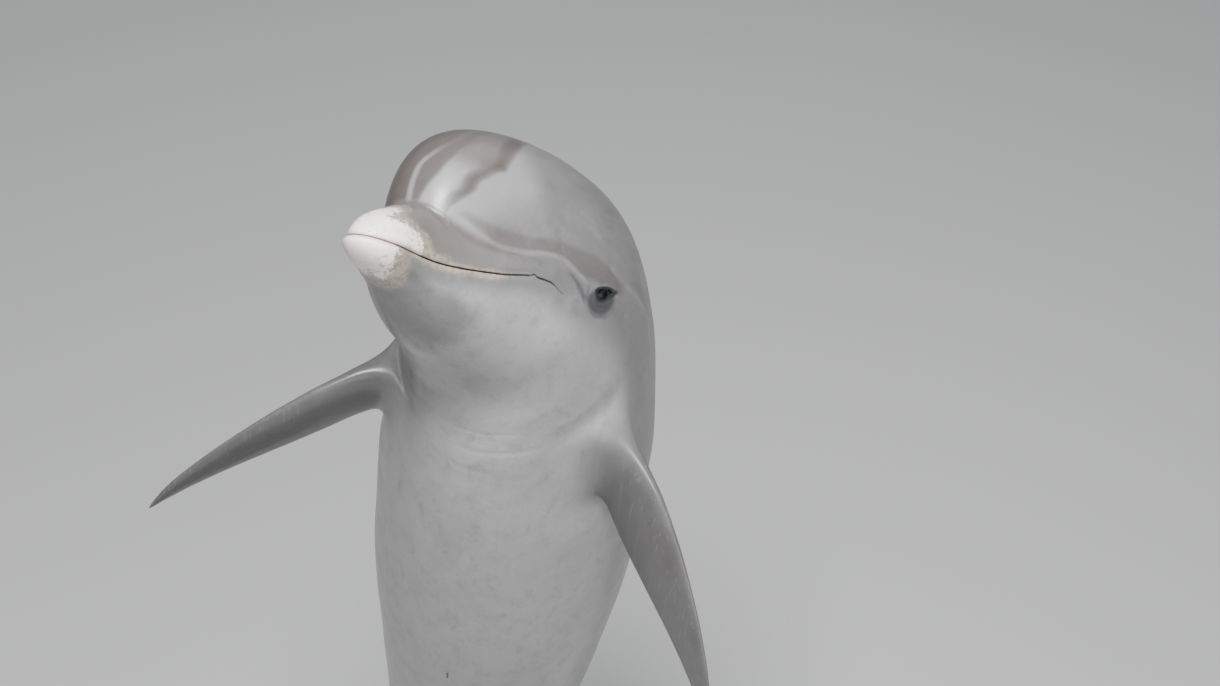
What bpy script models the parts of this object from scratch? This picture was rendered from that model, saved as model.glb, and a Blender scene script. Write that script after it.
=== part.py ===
"""A bottlenose dolphin, life size: a still museum model on a display stand.

The body is first laid out straight, in hundredths of its length: s runs back from the tip of the upper jaw,
y to the animal's left and z to its back. Rings and longitudes make its skin, and each fin grows out of a
window in them. The whole body is then bent along its spine into its pose, and parted with thin cuts.
"""

import math

import bmesh
import bpy
import numpy as np
from mathutils import Matrix, Vector

LENGTH = 2.50  # tip of the upper jaw to the notch of the flukes
UNIT = LENGTH / 100  # the tables of the body are in hundredths of its length
GAP = 0.0003  # left between two pieces that meet
LONGITUDES = 32
MIDDLE = math.pi / 2  # the longitude that follows the mouth line; 0 is the back, pi the belly

# The body without its melon: place, back, belly, half width, roundness of the section (2 is an ellipse).
HULL = (
    (0.0, 1.15, -1.15, 1.40, 2.2),
    (1.6, 1.57, -1.50, 1.65, 2.3),
    (3.6, 2.25, -2.45, 1.95, 2.3),
    (6.0, 2.75, -3.85, 3.00, 2.2),
    (8.5, 3.40, -4.85, 4.15, 2.15),
    (11.0, 4.30, -5.55, 5.10, 2.1),
    (14.0, 5.40, -6.45, 6.00, 2.1),
    (18.0, 7.20, -8.05, 6.75, 2.05),
    (24.0, 8.55, -9.30, 7.55, 2.0),
    (32.0, 9.45, -9.80, 8.30, 2.0),
    (40.0, 9.80, -9.45, 8.30, 2.0),
    (50.0, 9.30, -8.40, 7.45, 2.0),
    (60.0, 7.90, -6.80, 5.95, 1.95),
    (70.0, 5.75, -4.90, 4.15, 1.85),
    (80.0, 3.95, -3.40, 2.45, 1.75),
    (88.0, 2.75, -2.50, 1.50, 1.75),
    (92.0, 1.95, -1.80, 1.30, 1.8),
    (95.5, 1.10, -1.05, 1.20, 1.9),
    (100.0, 0.42, -0.42, 1.10, 2.0),
)
# The mouth line as far as its corner, and then the middle of the side.
MOUTH_LINE = (
    (0.0, 0.0), (2.0, -0.22), (5.0, -0.50), (8.0, -0.30), (10.2, 0.02), (11.2, -0.04),
    (12.3, -0.47), (14.0, -0.75), (20.0, -0.35), (32.0, 0.0), (60.0, 0.3), (100.0, 0.0),
)
MOUTH_CORNER = 12.3
# The melon, the swelling of the forehead: place, half width, top.
MELON = (
    (4.7, 3.55, 7.60), (8.0, 4.10, 7.62), (10.0, 4.62, 7.70), (12.0, 5.10, 7.80),
    (14.0, 5.45, 7.86), (17.0, 5.85, 7.86), (20.0, 6.05, 7.78), (26.0, 6.05, 7.45),
)
MELON_FRONT = 4.7  # where it rises out of the beak
MELON_FULL = 11.4  # where it has its full height
MELON_BASE = 1.85
MELON_UNDER = 3.0
MELON_ROUNDNESS = 2.35
NOSE_LENGTH = 1.9
TAIL_ROUNDING = 1.6
CHIN_JUT = 0.55  # the lower jaw reaches this far past the upper

# The pose. The trunk stands almost upright, turned a little about the vertical, with its belly to -Y.
TRUNK_TURN = math.radians(20)
TRUNK_LEAN = math.radians(7)  # to its left
NECK = (12.0, 27.0)  # where the head's pose fades into the trunk's
HEAD_BOW = math.radians(40.5)  # towards the belly
HEAD_TURN = math.radians(-23.0)  # to its left, so this turns it to its right
HEAD_ROLL = math.radians(-4.5)
# How far the tail is swung towards the belly, in degrees, along the body.
TAIL_SWING = ((0.0, 0.0), (44.0, 0.0), (60.0, 13.0), (76.0, 33.0), (88.0, 38.0), (94.0, 24.0), (100.0, 16.0))

# How far apart the rings are, along the body.
RING_SPACING = ((0.0, 0.55), (4.0, 0.80), (7.0, 1.15), (14.0, 1.80), (28.0, 2.00), (36.0, 3.4), (84.0, 3.4),
                (91.0, 1.3), (97.0, 1.1), (100.0, 0.6))

EYE_PLACE = (15.45, 0.30)  # s and z
EYE_RADIUS = 0.0170
EYE_PROUD = 0.0020

BASE_RADIUS = 0.50
BASE_THICKNESS = 0.040
BASE_BEVEL = 0.006
TRUNK_BEHIND = 0.11  # from the middle of the base to the upright trunk, along the animal's back
TRUNK_BESIDE = 0.06  # and to its left
CLEARANCE = 0.09  # from the base to the lowest point of the flukes
ROD_RADIUS = 0.015
ROD_STATIONS = {"front": 86.0, "back": 72.0}  # where the rods end, on the spine
ROD_IN_BASE = 0.025
COLLAR_RADIUS = 0.034
COLLAR_HEIGHT = 0.014


def curve_through(points):
    """A smooth function through the points that doesn't overshoot them (a monotone cubic)."""
    xs, ys = np.array(points, float).T
    steps = np.diff(xs)
    rises = np.diff(ys) / steps
    slopes = np.zeros_like(ys)
    slopes[0], slopes[-1] = rises[0], rises[-1]
    for i in range(1, len(xs) - 1):
        if rises[i - 1] * rises[i] > 0:
            near, far = 2 * steps[i] + steps[i - 1], steps[i] + 2 * steps[i - 1]
            slopes[i] = (near + far) / (near / rises[i - 1] + far / rises[i])

    def at(x):
        x = np.clip(x, xs[0], xs[-1])
        i = np.clip(np.searchsorted(xs, x, side="right") - 1, 0, len(xs) - 2)
        h = steps[i]
        t = (x - xs[i]) / h
        start = ys[i] * (1 + 2 * t) + slopes[i] * h * t
        end = ys[i + 1] * (3 - 2 * t) + slopes[i + 1] * h * (t - 1)
        return start * (1 - t) ** 2 + end * t**2

    return at


def columns(rows):
    table = np.array(rows)
    return [curve_through(table[:, [0, k]]) for k in range(1, table.shape[1])]


back_of, belly_of, half_width_of, roundness_of = columns(HULL)
melon_half_of, melon_top_of = columns(MELON)
mouth_of = curve_through(MOUTH_LINE)
tail_swing_of = curve_through(TAIL_SWING)
ring_spacing_of = curve_through(RING_SPACING)


def smooth_step(x, start, end):
    t = np.clip((x - start) / (end - start), 0, 1)
    return t * t * (3 - 2 * t)


def quarter_round(t):
    """0 to 1 as t goes from 0 to 1, like the side of a circle."""
    return np.sqrt(np.clip(1 - (1 - np.clip(t, 0, 1)) ** 2, 1e-6, 1))


def smooth_union(a, b, reach):
    near = np.maximum(reach - np.abs(a - b), 0) / reach
    return np.minimum(a, b) - near * near * reach / 4


def outside(s, y, z):
    """About how far a point lies outside the straight body; negative inside."""
    middle = mouth_of(s)
    ends = quarter_round(s / NOSE_LENGTH) ** 0.9 * quarter_round((100 - s) / TAIL_ROUNDING)
    height = np.where(z > middle, back_of(s) - middle, middle - belly_of(s)) * ends
    width = half_width_of(s) * ends
    power = roundness_of(s)
    reach = (np.abs(y / width) ** power + np.abs((z - middle) / height) ** power) ** (1 / power)
    hull = (reach - 1) * np.minimum(width, height)

    width = melon_half_of(s)
    rise = z - MELON_BASE
    height = np.where(rise > 0, melon_top_of(s) - MELON_BASE, MELON_UNDER)
    ahead = np.maximum(0, (MELON_FULL - s) / (MELON_FULL - MELON_FRONT))
    power = MELON_ROUNDNESS
    reach = (ahead**power + np.abs(y / width) ** power + np.abs(rise / height) ** power) ** (1 / power)
    melon = (reach - 1) * np.minimum(width, height) * 0.8
    melon = melon + 3 * np.maximum(0, (s - 17) / 10) ** 2
    return smooth_union(hull, melon, 0.25 + 1.2 * np.clip((s - 3.6) / 10, 0, 1))


def surface(s, longitude):
    """Points of the skin, found along rays from the middle of each section."""
    s, longitude = np.broadcast_arrays(np.asarray(s, float), np.asarray(longitude, float))
    middle = mouth_of(s)
    across, up = np.sin(longitude), np.cos(longitude)
    near, far = np.zeros_like(s), np.full_like(s, 16.0)
    for _ in range(30):
        half = (near + far) / 2
        inside = outside(s, half * across, middle + half * up) < 0
        near = np.where(inside, half, near)
        far = np.where(inside, far, half)
    y, z = near * across, middle + near * up
    lower = 1 / (1 + np.exp(np.clip((z - middle) / 0.25, -50, 50)))
    return np.stack([s - CHIN_JUT * lower * np.clip(1 - s / 6, 0, 1) ** 1.5, y, z], -1)


def ring_stations():
    """Places for the rings, closer together where the skin turns across the body."""
    fine = 50 * (1 - np.cos(np.linspace(0, math.pi, 3000)))
    lines = surface(fine[:, None], np.radians([0, 40, 90, 180])[None, :])
    steps = np.linalg.norm(np.diff(lines, axis=0), axis=-1).max(axis=1)
    count = np.concatenate([[0], np.cumsum(steps / ring_spacing_of((fine[1:] + fine[:-1]) / 2))])
    rings = int(round(count[-1]))
    return np.interp(np.arange(1, rings) * count[-1] / rings, count, fine)


class Spine:
    """The bent spine: the middle of the body and its forward, left and back directions at each station."""

    def __init__(self):
        self.places = np.linspace(-4, 106, 1101)
        upright = Matrix(((0, 1, 0), (0, 0, 1), (1, 0, 0)))
        trunk = (Matrix.Rotation(-TRUNK_TURN, 3, "Z") @ upright) @ Matrix.Rotation(TRUNK_LEAN, 3, "Z")
        head = (Matrix.Rotation(HEAD_TURN, 3, "Z") @ Matrix.Rotation(HEAD_BOW, 3, "Y")
                @ Matrix.Rotation(HEAD_ROLL, 3, "X")).to_quaternion()
        straight = Matrix.Identity(3).to_quaternion()
        frames = []
        for s in self.places:
            share = 1 - float(smooth_step(s, *NECK))
            turned = straight.slerp(head, share).to_matrix()
            swung = Matrix.Rotation(-math.radians(float(tail_swing_of(s))), 3, "Y")
            frames.append(np.array(trunk @ turned @ swung))
        self.frames = np.array(frames)
        forward = self.frames[:, :, 0]
        steps = (forward[1:] + forward[:-1]) / 2 * np.diff(self.places)[:, None]
        middle = -np.concatenate([np.zeros((1, 3)), np.cumsum(steps, axis=0)]) * UNIT
        upright = int(np.searchsorted(self.places, 40.0))
        aside = trunk @ Vector((0, TRUNK_BESIDE, TRUNK_BEHIND))
        self.middle = middle - middle[upright] + np.array(aside)

    def at(self, s):
        """Middle and 3 x 3 frame at the stations s."""
        middle = np.stack([np.interp(s, self.places, self.middle[:, k]) for k in range(3)], -1)
        cells = self.frames.reshape(-1, 9).T
        frame = np.stack([np.interp(s, self.places, cell) for cell in cells], -1)
        return middle, frame.reshape(np.shape(s) + (3, 3))

    def bend(self, points, carriers=None):
        """Points of the straight body, in hundredths, to metres in the pose.

        Each point follows its own station of the spine, or the carrier's.
        """
        points = np.asarray(points, float)
        carriers = points[..., 0] if carriers is None else np.asarray(carriers, float)
        middle, frame = self.at(carriers)
        local = points * UNIT
        local[..., 0] = (carriers - points[..., 0]) * UNIT
        return middle + np.einsum("...ij,...j->...i", frame, local)


class Fin:
    """A fin: a wing of sections along its span, grown out of a window in the body's grid."""

    def __init__(self, root, span, direction, chord, planform, thickness, window, fillet):
        self.root_s, self.root_longitude = root
        self.span, self.window, self.fillet = span / UNIT, window, fillet / UNIT
        self.root = surface(*root)
        self.direction = unit(direction)
        chord = np.array(chord, float)
        self.chord = unit(chord - self.direction * chord.dot(self.direction))
        self.normal = np.cross(self.direction, self.chord)
        self.lead_of, self.trail_of = columns([(t, lead / UNIT, trail / UNIT) for t, lead, trail in planform])
        self.thickness_of = curve_through(thickness)
        around = surface(self.root_s, self.root_longitude + 0.05) - self.root
        if self.normal.dot(around) < 0:
            self.normal = -self.normal

    def section(self, t, angle):
        """Points of the section at t of the span; the angle is 0 at the leading edge, pi at the trailing one."""
        along = (1 - np.cos(angle)) / 2
        lead, trail = self.lead_of(t), self.trail_of(t)
        tip = np.sqrt(np.clip(1 - (np.maximum(t - 0.86, 0) / 0.14) ** 2, 0, 1))
        middle = lead - (lead - trail) * 0.62
        lead, trail = middle + (lead - middle) * tip, middle + (trail - middle) * tip
        width = lead - trail
        profile = (0.2969 * np.sqrt(along) - 0.1260 * along - 0.3516 * along**2 + 0.2843 * along**3
                   - 0.1036 * along**4)
        half = 5 * self.thickness_of(t) * width * profile + 0.0016 / UNIT * np.abs(np.sin(angle)) * tip
        side = np.where(np.sin(angle) < 0, -1.0, 1.0)
        return (self.root + np.multiply.outer(np.asarray(t) * self.span, self.direction)
                + np.multiply.outer(lead - along * width, self.chord)
                + np.multiply.outer(side * half, self.normal))


def unit(vector):
    vector = np.array(vector, float)
    return vector / np.linalg.norm(vector)


# Planforms: share of the span, leading edge and trailing edge ahead of the root's middle, in metres.
FLIPPER_SHAPE = (
    (0.0, 0.078, -0.072), (0.2, 0.072, -0.080), (0.4, 0.054, -0.084), (0.6, 0.022, -0.084),
    (0.8, -0.024, -0.090), (0.92, -0.062, -0.102), (1.0, -0.095, -0.118),
)
DORSAL_SHAPE = (
    (0.0, 0.185, -0.150), (0.25, 0.112, -0.126), (0.5, 0.034, -0.122), (0.75, -0.060, -0.142),
    (0.9, -0.126, -0.172), (1.0, -0.176, -0.204),
)
FLUKE_SHAPE = (
    (0.0, 0.130, -0.104), (0.15, 0.106, -0.134), (0.35, 0.064, -0.148), (0.6, 0.004, -0.146),
    (0.8, -0.056, -0.150), (0.93, -0.110, -0.164), (1.0, -0.150, -0.184),
)


def fins():
    """Every fin of the body. Directions are (back along the body, left, towards the back)."""
    made = {}
    for side, name in ((1, "left"), (-1, "right")):
        twist = math.radians(8 if side > 0 else -15)
        back, out, down = (0.35, 0.73, -0.59) if side > 0 else (0.25, 0.72, -0.65)
        made[f"flipper_{name}"] = Fin(
            root=(25.2, side * math.radians(121)), span=0.41, direction=(back, out * side, down),
            chord=(-math.cos(twist), 0.6 * math.sin(twist) * side, 0.8 * math.sin(twist)),
            planform=FLIPPER_SHAPE, thickness=((0, 0.24), (0.25, 0.17), (0.7, 0.12), (1, 0.12)),
            window=(3.9, 0.075), fillet=0.030)
        made[f"fluke_{name}"] = Fin(
            root=(95.2, side * MIDDLE), span=0.275, direction=(0, side, 0), chord=(-1, 0, 0),
            planform=FLUKE_SHAPE, thickness=((0, 0.17), (0.3, 0.12), (1, 0.10)),
            window=(4.75, 0.026), fillet=0.034)
    made["dorsal_fin"] = Fin(
        root=(53.5, 0.0), span=0.235, direction=(0.0, 0, 1), chord=(-1, 0, 0.12),
        planform=DORSAL_SHAPE, thickness=((0, 0.15), (0.4, 0.11), (1, 0.10)),
        window=(7.6, 0.070), fillet=0.030)
    return made


class Skin:
    """The straight body's mesh: points, the station that carries each, and faces."""

    def __init__(self, stations, longitudes):
        self.stations, self.longitudes = stations, longitudes
        rings, around = len(stations), len(longitudes)
        grid = surface(stations[:, None], longitudes[None, :])
        nose = [[-0.5 * CHIN_JUT, 0, mouth_of(0.0)]]
        tail = [[100, 0, mouth_of(100.0)]]
        self.points = [*grid.reshape(-1, 3), *np.array(nose), *np.array(tail)]
        self.carriers = [point[0] for point in self.points]
        first, last = rings * around, rings * around + 1
        self.open = np.ones((rings - 1, around), bool)
        self.faces = []
        for j in range(around):
            k = (j + 1) % around
            self.faces.append((first, self.at(0, k), self.at(0, j)))
            self.faces.append((last, self.at(rings - 1, j), self.at(rings - 1, k)))

    def at(self, ring, longitude):
        return ring * len(self.longitudes) + longitude % len(self.longitudes)

    def window_of(self, fin):
        """The grid lines round a fin's root."""
        length, half_width = fin.window
        first = int(np.abs(self.stations - (fin.root_s - length)).argmin())
        last = int(np.abs(self.stations - (fin.root_s + length)).argmin())
        radius = np.linalg.norm((fin.root - [fin.root_s, 0, mouth_of(fin.root_s)])[1:]) * UNIT
        centre = fin.root_longitude % (2 * math.pi)
        turn = (self.longitudes - centre + math.pi) % (2 * math.pi) - math.pi
        middle = int(np.abs(turn).argmin())
        away = np.abs(np.abs(turn[(middle + np.arange(1, 12)) % len(turn)]) * radius - half_width)
        reach = int(away.argmin()) + 1
        return first, last, middle - reach, middle + reach

    def grow(self, fin, sections, fillet_rings):
        """Cuts the window, and bridges it through a fillet to the fin's sections."""
        first, last, low, high = self.window_of(fin)
        for i in range(first, last):
            for j in range(low, high):
                self.open[i, j % len(self.longitudes)] = False
        front = [(first, j) for j in range(low, high)]
        upper = [(i, high) for i in range(first, last)]
        back = [(last, j) for j in range(high, low, -1)]
        lower = [(i, low) for i in range(last, first, -1)]
        loop = front + upper + back + lower
        corner = math.radians(38)
        inset = (1 - math.cos(corner)) / 2
        angles = []
        for i, j in loop:
            share = (j - low) / (high - low) * 2 - 1
            along = (self.stations[i] - self.stations[first]) / (self.stations[last] - self.stations[first])
            side = math.acos(1 - 2 * (inset + (1 - 2 * inset) * along))
            if i == first:
                angles.append(share * corner)
            elif i == last:
                angles.append(math.pi - share * corner)
            else:
                angles.append(side if j == high else -side)
        angles = np.array(angles)
        rim = np.array([self.at(i, j) for i, j in loop])
        edge = np.array([self.points[k] for k in rim])
        lift = fin.fillet / fin.span
        foot = np.array([self.dropped(point) for point in fin.section(0.0, angles)])
        wing = fin.section(lift, angles)
        previous = rim
        for k in range(1, fillet_rings + 1):
            u = k / (fillet_rings + 1)
            ring = edge * (1 - u) ** 2 + foot * 2 * u * (1 - u) + wing * u * u
            previous = self.add_ring(previous, ring, ring[:, 0] * (1 - u) + fin.root_s * u)
        spans = lift + (1 - lift) * np.sin(np.linspace(0, math.pi / 2, sections + 1))
        for t in spans[:-1]:
            previous = self.add_ring(previous, fin.section(t, angles), np.full(len(angles), fin.root_s))
        tip = len(self.points)
        self.points.append(fin.section(1.0, np.array([0.0]))[0])
        self.carriers.append(fin.root_s)
        for a, b in zip(previous, np.roll(previous, -1)):
            self.faces.append((a, b, tip))

    def dropped(self, point):
        """The point of the body's skin under a point beside it."""
        s = np.clip(point[0], 0.5, 99.7)
        return surface(s, math.atan2(point[1], point[2] - mouth_of(s)))

    def add_ring(self, previous, ring, carriers):
        start = len(self.points)
        self.points.extend(ring)
        self.carriers.extend(carriers)
        new = np.arange(start, start + len(ring))
        for a, b, c, d in zip(previous, np.roll(previous, -1), np.roll(new, -1), new):
            self.faces.append((a, b, c, d))
        return new

    def finish(self):
        """The remaining faces of the grid."""
        for i, j in zip(*np.nonzero(self.open)):
            self.faces.append((self.at(i, j), self.at(i, j + 1), self.at(i + 1, j + 1), self.at(i + 1, j)))
        return np.array(self.points), np.array(self.carriers), self.faces


def new_object(name, points, faces, look, smooth=True):
    mesh = bpy.data.meshes.new(name)
    mesh.from_pydata([tuple(map(float, p)) for p in points], [], [tuple(map(int, f)) for f in faces])
    made = bmesh.new()
    made.from_mesh(mesh)
    bmesh.ops.recalc_face_normals(made, faces=made.faces)
    bmesh.ops.triangulate(made, faces=made.faces)
    made.to_mesh(mesh)
    made.free()
    return place_mesh(name, mesh, look, smooth)


def place_mesh(name, mesh, look, smooth=True):
    if smooth:
        mesh.shade_smooth()
    obj = bpy.data.objects.new(name, mesh)
    bpy.context.scene.collection.objects.link(obj)
    mesh.materials.clear()
    mesh.materials.append(look)
    return obj


def material(name, colour, roughness, metallic=0.0):
    made = bpy.data.materials.new(name)
    made.use_nodes = True
    shader = made.node_tree.nodes["Principled BSDF"]
    shader.inputs["Base Color"].default_value = (*colour, 1)
    shader.inputs["Roughness"].default_value = roughness
    shader.inputs["Metallic"].default_value = metallic
    return made


def from_bmesh(name, made, look, smooth=True):
    mesh = bpy.data.meshes.new(name)
    made.to_mesh(mesh)
    made.free()
    return place_mesh(name, mesh, look, smooth)


def cylinder(name, centre, bottom, top, radius, look, sides=20, bevel=0.0):
    """An upright cylinder at the centre (x, y), with its rims bevelled."""
    made = bmesh.new()
    placed = Matrix.Translation((centre[0], centre[1], (bottom + top) / 2))
    bmesh.ops.create_cone(made, cap_ends=True, segments=sides, radius1=radius, radius2=radius,
                          depth=top - bottom, matrix=placed)
    if bevel:
        rims = [edge for edge in made.edges if abs(edge.verts[0].co.z - edge.verts[1].co.z) < 1e-6]
        bmesh.ops.bevel(made, geom=rims, offset=bevel, segments=1, affect="EDGES")
    obj = from_bmesh(name, made, look)
    obj.data.set_sharp_from_angle(angle=math.radians(40))
    return obj


def cutter(obj):
    obj.hide_render = True
    obj.display_type = "WIRE"
    return obj


def slab(centre, normal, along, length, width, look):
    """A cutter as thin as the gap: across the normal, so long along one direction and so wide across it."""
    normal = unit(normal)
    along = unit(np.array(along) - normal * np.dot(along, normal))
    across = np.cross(normal, along)
    points = [centre + normal * GAP / 2 * n + along * length / 2 * a + across * width / 2 * b
              for n in (-1, 1) for a in (-1, 1) for b in (-1, 1)]
    faces = [(0, 1, 3, 2), (4, 6, 7, 5), (0, 4, 5, 1), (2, 3, 7, 6), (0, 2, 6, 4), (1, 5, 7, 3)]
    return cutter(new_object("cutter", points, faces, look, smooth=False))


def jaw_cutter(spine, look):
    """A thin sheet along the mouth line, turned down to the throat behind its corner."""
    stations = [-3.0, *np.linspace(-0.6, MOUTH_CORNER, 14)]
    path = [(s, float(mouth_of(s))) for s in stations]
    path += [(MOUTH_CORNER + 0.9, -2.4), (MOUTH_CORNER + 1.0, -12.0)]
    path = np.array(path)
    along = np.gradient(path, axis=0)
    across = np.stack([-along[:, 1], along[:, 0]], -1)
    across /= np.linalg.norm(across, axis=1)[:, None]
    outline = np.concatenate([path + across * GAP / 2 / UNIT, (path - across * GAP / 2 / UNIT)[::-1]])
    count = len(outline)
    points = [spine.bend((s, y, z), 5.0) for y in (-9.0, 9.0) for s, z in outline]
    faces = [(k, (k + 1) % count, (k + 1) % count + count, k + count) for k in range(count)]
    for i in range(count // 2 - 1):
        right = (i, i + 1, count - 2 - i, count - 1 - i)
        faces.append(right)
        faces.append([k + count for k in reversed(right)])
    return cutter(new_object("cutter", points, faces, look, smooth=False))


def subtract(obj, cut):
    """Applies a Boolean difference, and removes the cutter.

    The exact solver loses the thin cuts and the eye sockets.
    """
    modifier = obj.modifiers.new("cut", "BOOLEAN")
    modifier.object = cut
    modifier.solver = "MANIFOLD"
    graph = bpy.context.evaluated_depsgraph_get()
    mesh = bpy.data.meshes.new_from_object(obj.evaluated_get(graph))
    obj.modifiers.clear()
    obj.data = mesh
    bpy.data.objects.remove(cut)


def islands(mesh):
    """The separate closed shells of a mesh, each as its own bmesh."""
    made = bmesh.new()
    made.from_mesh(mesh)
    waiting = set(made.verts)
    shells = []
    while waiting:
        stack = [waiting.pop()]
        shell = set(stack)
        while stack:
            for edge in stack.pop().link_edges:
                for vertex in edge.verts:
                    if vertex in waiting:
                        waiting.discard(vertex)
                        shell.add(vertex)
                        stack.append(vertex)
        shells.append(shell)
    found = []
    for shell in shells:
        numbers = {vertex: k for k, vertex in enumerate(shell)}
        faces = [[numbers[v] for v in face.verts] for face in made.faces if face.verts[0] in numbers]
        found.append(([vertex.co.copy() for vertex in shell], faces))
    made.free()
    return found


def parting_cuts(spine, grown, look):
    """The thin cutters between the named pieces of flesh."""
    def across_body(s, size):
        middle, frame = spine.at(np.array(float(s)))
        return slab(middle, frame[:, 0], frame[:, 1], size, size, look)

    def under_fin(fin, lift, length, width):
        """A slab that lies along the skin at a fin's root."""
        ahead, behind = (surface(fin.root_s + step, fin.root_longitude) for step in (-2, 2))
        left, right = (surface(fin.root_s, fin.root_longitude + turn) for turn in (-0.1, 0.1))
        normal = unit(np.cross(behind - ahead, right - left))
        normal = normal if normal.dot(fin.direction) > 0 else -normal
        centre = fin.root + normal * lift / UNIT
        middle, above, before = (spine.bend(point, fin.root_s)
                                 for point in (centre, centre + normal, centre + ahead - behind))
        return slab(middle, above - middle, before - middle, length, width, look)

    cuts = [across_body(19.6, 0.46), across_body(66.0, 0.40), jaw_cutter(spine, look)]
    cuts.append(under_fin(grown["dorsal_fin"], 0.020, 0.46, 0.16))
    for side in ("left", "right"):
        cuts.append(under_fin(grown[f"flipper_{side}"], 0.028, 0.21, 0.11))
        cuts.append(under_fin(grown[f"fluke_{side}"], 0.014, 0.34, 0.11))
    return cuts


def eye_centre(spine, side):
    """The middle of an eyeball and the point of the skin over it."""
    s, z = EYE_PLACE
    longitudes = np.radians(np.linspace(60, 110, 400))
    line = surface(np.full(400, s), longitudes)
    found = longitudes[int(np.abs(line[:, 2] - z).argmin())]
    point = surface(s, found)
    normal = unit(np.cross(surface(s + 0.5, found) - surface(s - 0.5, found),
                           surface(s, found - 0.05) - surface(s, found + 0.05)))
    normal = normal if normal[1] > 0 else -normal
    centre = point - normal * (EYE_RADIUS - EYE_PROUD) / UNIT
    return spine.bend(centre * [1, side, 1], s)


def ball(name, centre, radius, look, segments=16, rings=10):
    made = bmesh.new()
    bmesh.ops.create_uvsphere(made, u_segments=segments, v_segments=rings, radius=radius,
                              matrix=Matrix.Translation(Vector(centre)))
    return from_bmesh(name, made, look)


def make_flesh(spine, looks):
    """The whole body in one closed mesh, then parted into its named pieces."""
    longitudes = np.arange(LONGITUDES) * 2 * math.pi / LONGITUDES
    skin = Skin(ring_stations(), longitudes)
    grown = fins()
    for fin in grown.values():
        skin.grow(fin, sections=6, fillet_rings=2)
    points, carriers, faces = skin.finish()
    body = new_object("body", spine.bend(points, carriers), faces, looks["grey skin"])
    for cut in parting_cuts(spine, grown, looks["grey skin"]):
        subtract(body, cut)
    landmarks = {
        "head": ((12, 0, 7), 12), "lower_jaw": ((5, 0, -3), 5), "trunk": ((40, 0, 9.8), 40),
        "tail_stock": ((80, 0, 3.9), 80),
    }
    landmarks = {name: spine.bend(*place) for name, place in landmarks.items()}
    for name, fin in grown.items():
        landmarks[name] = spine.bend(fin.section(0.7, np.array([0.4]))[0], fin.root_s)
    pieces = {}
    found = islands(body.data)
    for name, mark in landmarks.items():
        away = [min((co - Vector(mark)).length for co in points) for points, _ in found]
        points, faces = found.pop(int(np.argmin(away)))
        look = looks["pale skin"] if name == "lower_jaw" else looks["grey skin"]
        pieces[name] = new_object(name, points, faces, look)
    bpy.data.objects.remove(body)
    return pieces


def main():
    for obj in list(bpy.data.objects):
        bpy.data.objects.remove(obj)
    looks = {
        "grey skin": material("grey skin", (0.30, 0.31, 0.32), 0.35),
        "pale skin": material("pale skin", (0.48, 0.46, 0.45), 0.35),
        "eye": material("eye", (0.02, 0.015, 0.012), 0.08),
        "painted base": material("painted base", (0.05, 0.05, 0.055), 0.45),
        "steel": material("steel", (0.62, 0.62, 0.62), 0.28, 1.0),
    }
    spine = Spine()
    pieces = make_flesh(spine, looks)
    lowest = min((obj.matrix_world @ v.co).z for obj in pieces.values() for v in obj.data.vertices)
    lift = BASE_THICKNESS + CLEARANCE - lowest
    spine.middle[:, 2] += lift
    for obj in pieces.values():
        obj.data.transform(Matrix.Translation((0, 0, lift)))

    for side, name in ((1, "left"), (-1, "right")):
        centre = eye_centre(spine, side)
        socket = cutter(ball("socket", centre, EYE_RADIUS + GAP, looks["eye"]))
        subtract(pieces["head"], socket)
        ball(f"eye_{name}", centre, EYE_RADIUS, looks["eye"])

    base = cylinder("stand_base", (0, 0), 0, BASE_THICKNESS, BASE_RADIUS, looks["painted base"],
                    sides=60, bevel=BASE_BEVEL)
    for name, s in ROD_STATIONS.items():
        top = spine.bend((s, 0, mouth_of(s)))
        bottom = BASE_THICKNESS - ROD_IN_BASE
        for piece in (pieces["tail_stock"], base):
            hole = cylinder("hole", top, bottom - GAP, top[2] + GAP, ROD_RADIUS + GAP, looks["steel"])
            subtract(piece, cutter(hole))
        cylinder(f"stand_rod_{name}", top, bottom, top[2], ROD_RADIUS, looks["steel"])
        collar = cylinder(f"stand_collar_{name}", top, BASE_THICKNESS + GAP, BASE_THICKNESS + COLLAR_HEIGHT,
                          COLLAR_RADIUS, looks["steel"], bevel=0.002)
        bore = cylinder("hole", top, 0, BASE_THICKNESS + 2 * COLLAR_HEIGHT, ROD_RADIUS + GAP, looks["steel"])
        subtract(collar, cutter(bore))
    for name in ("stand_base", "stand_collar_front", "stand_collar_back"):
        bpy.data.objects[name].data.set_sharp_from_angle(angle=math.radians(40))


main()
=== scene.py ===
"""The finished look of a life-size bottlenose dolphin on its display stand.

The body is laid out straight first, in hundredths of its length: s runs back from the tip of the upper
jaw, y to the animal's left and z to its back. One closed skin is made there, with its lips, lids, folds
and fins, and is then bent along the spine into its pose. Eyes, sleeves and screws are pieces of their own.
"""

import math

import bmesh
import bpy
import numpy as np
from mathutils import Matrix, Vector


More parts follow.
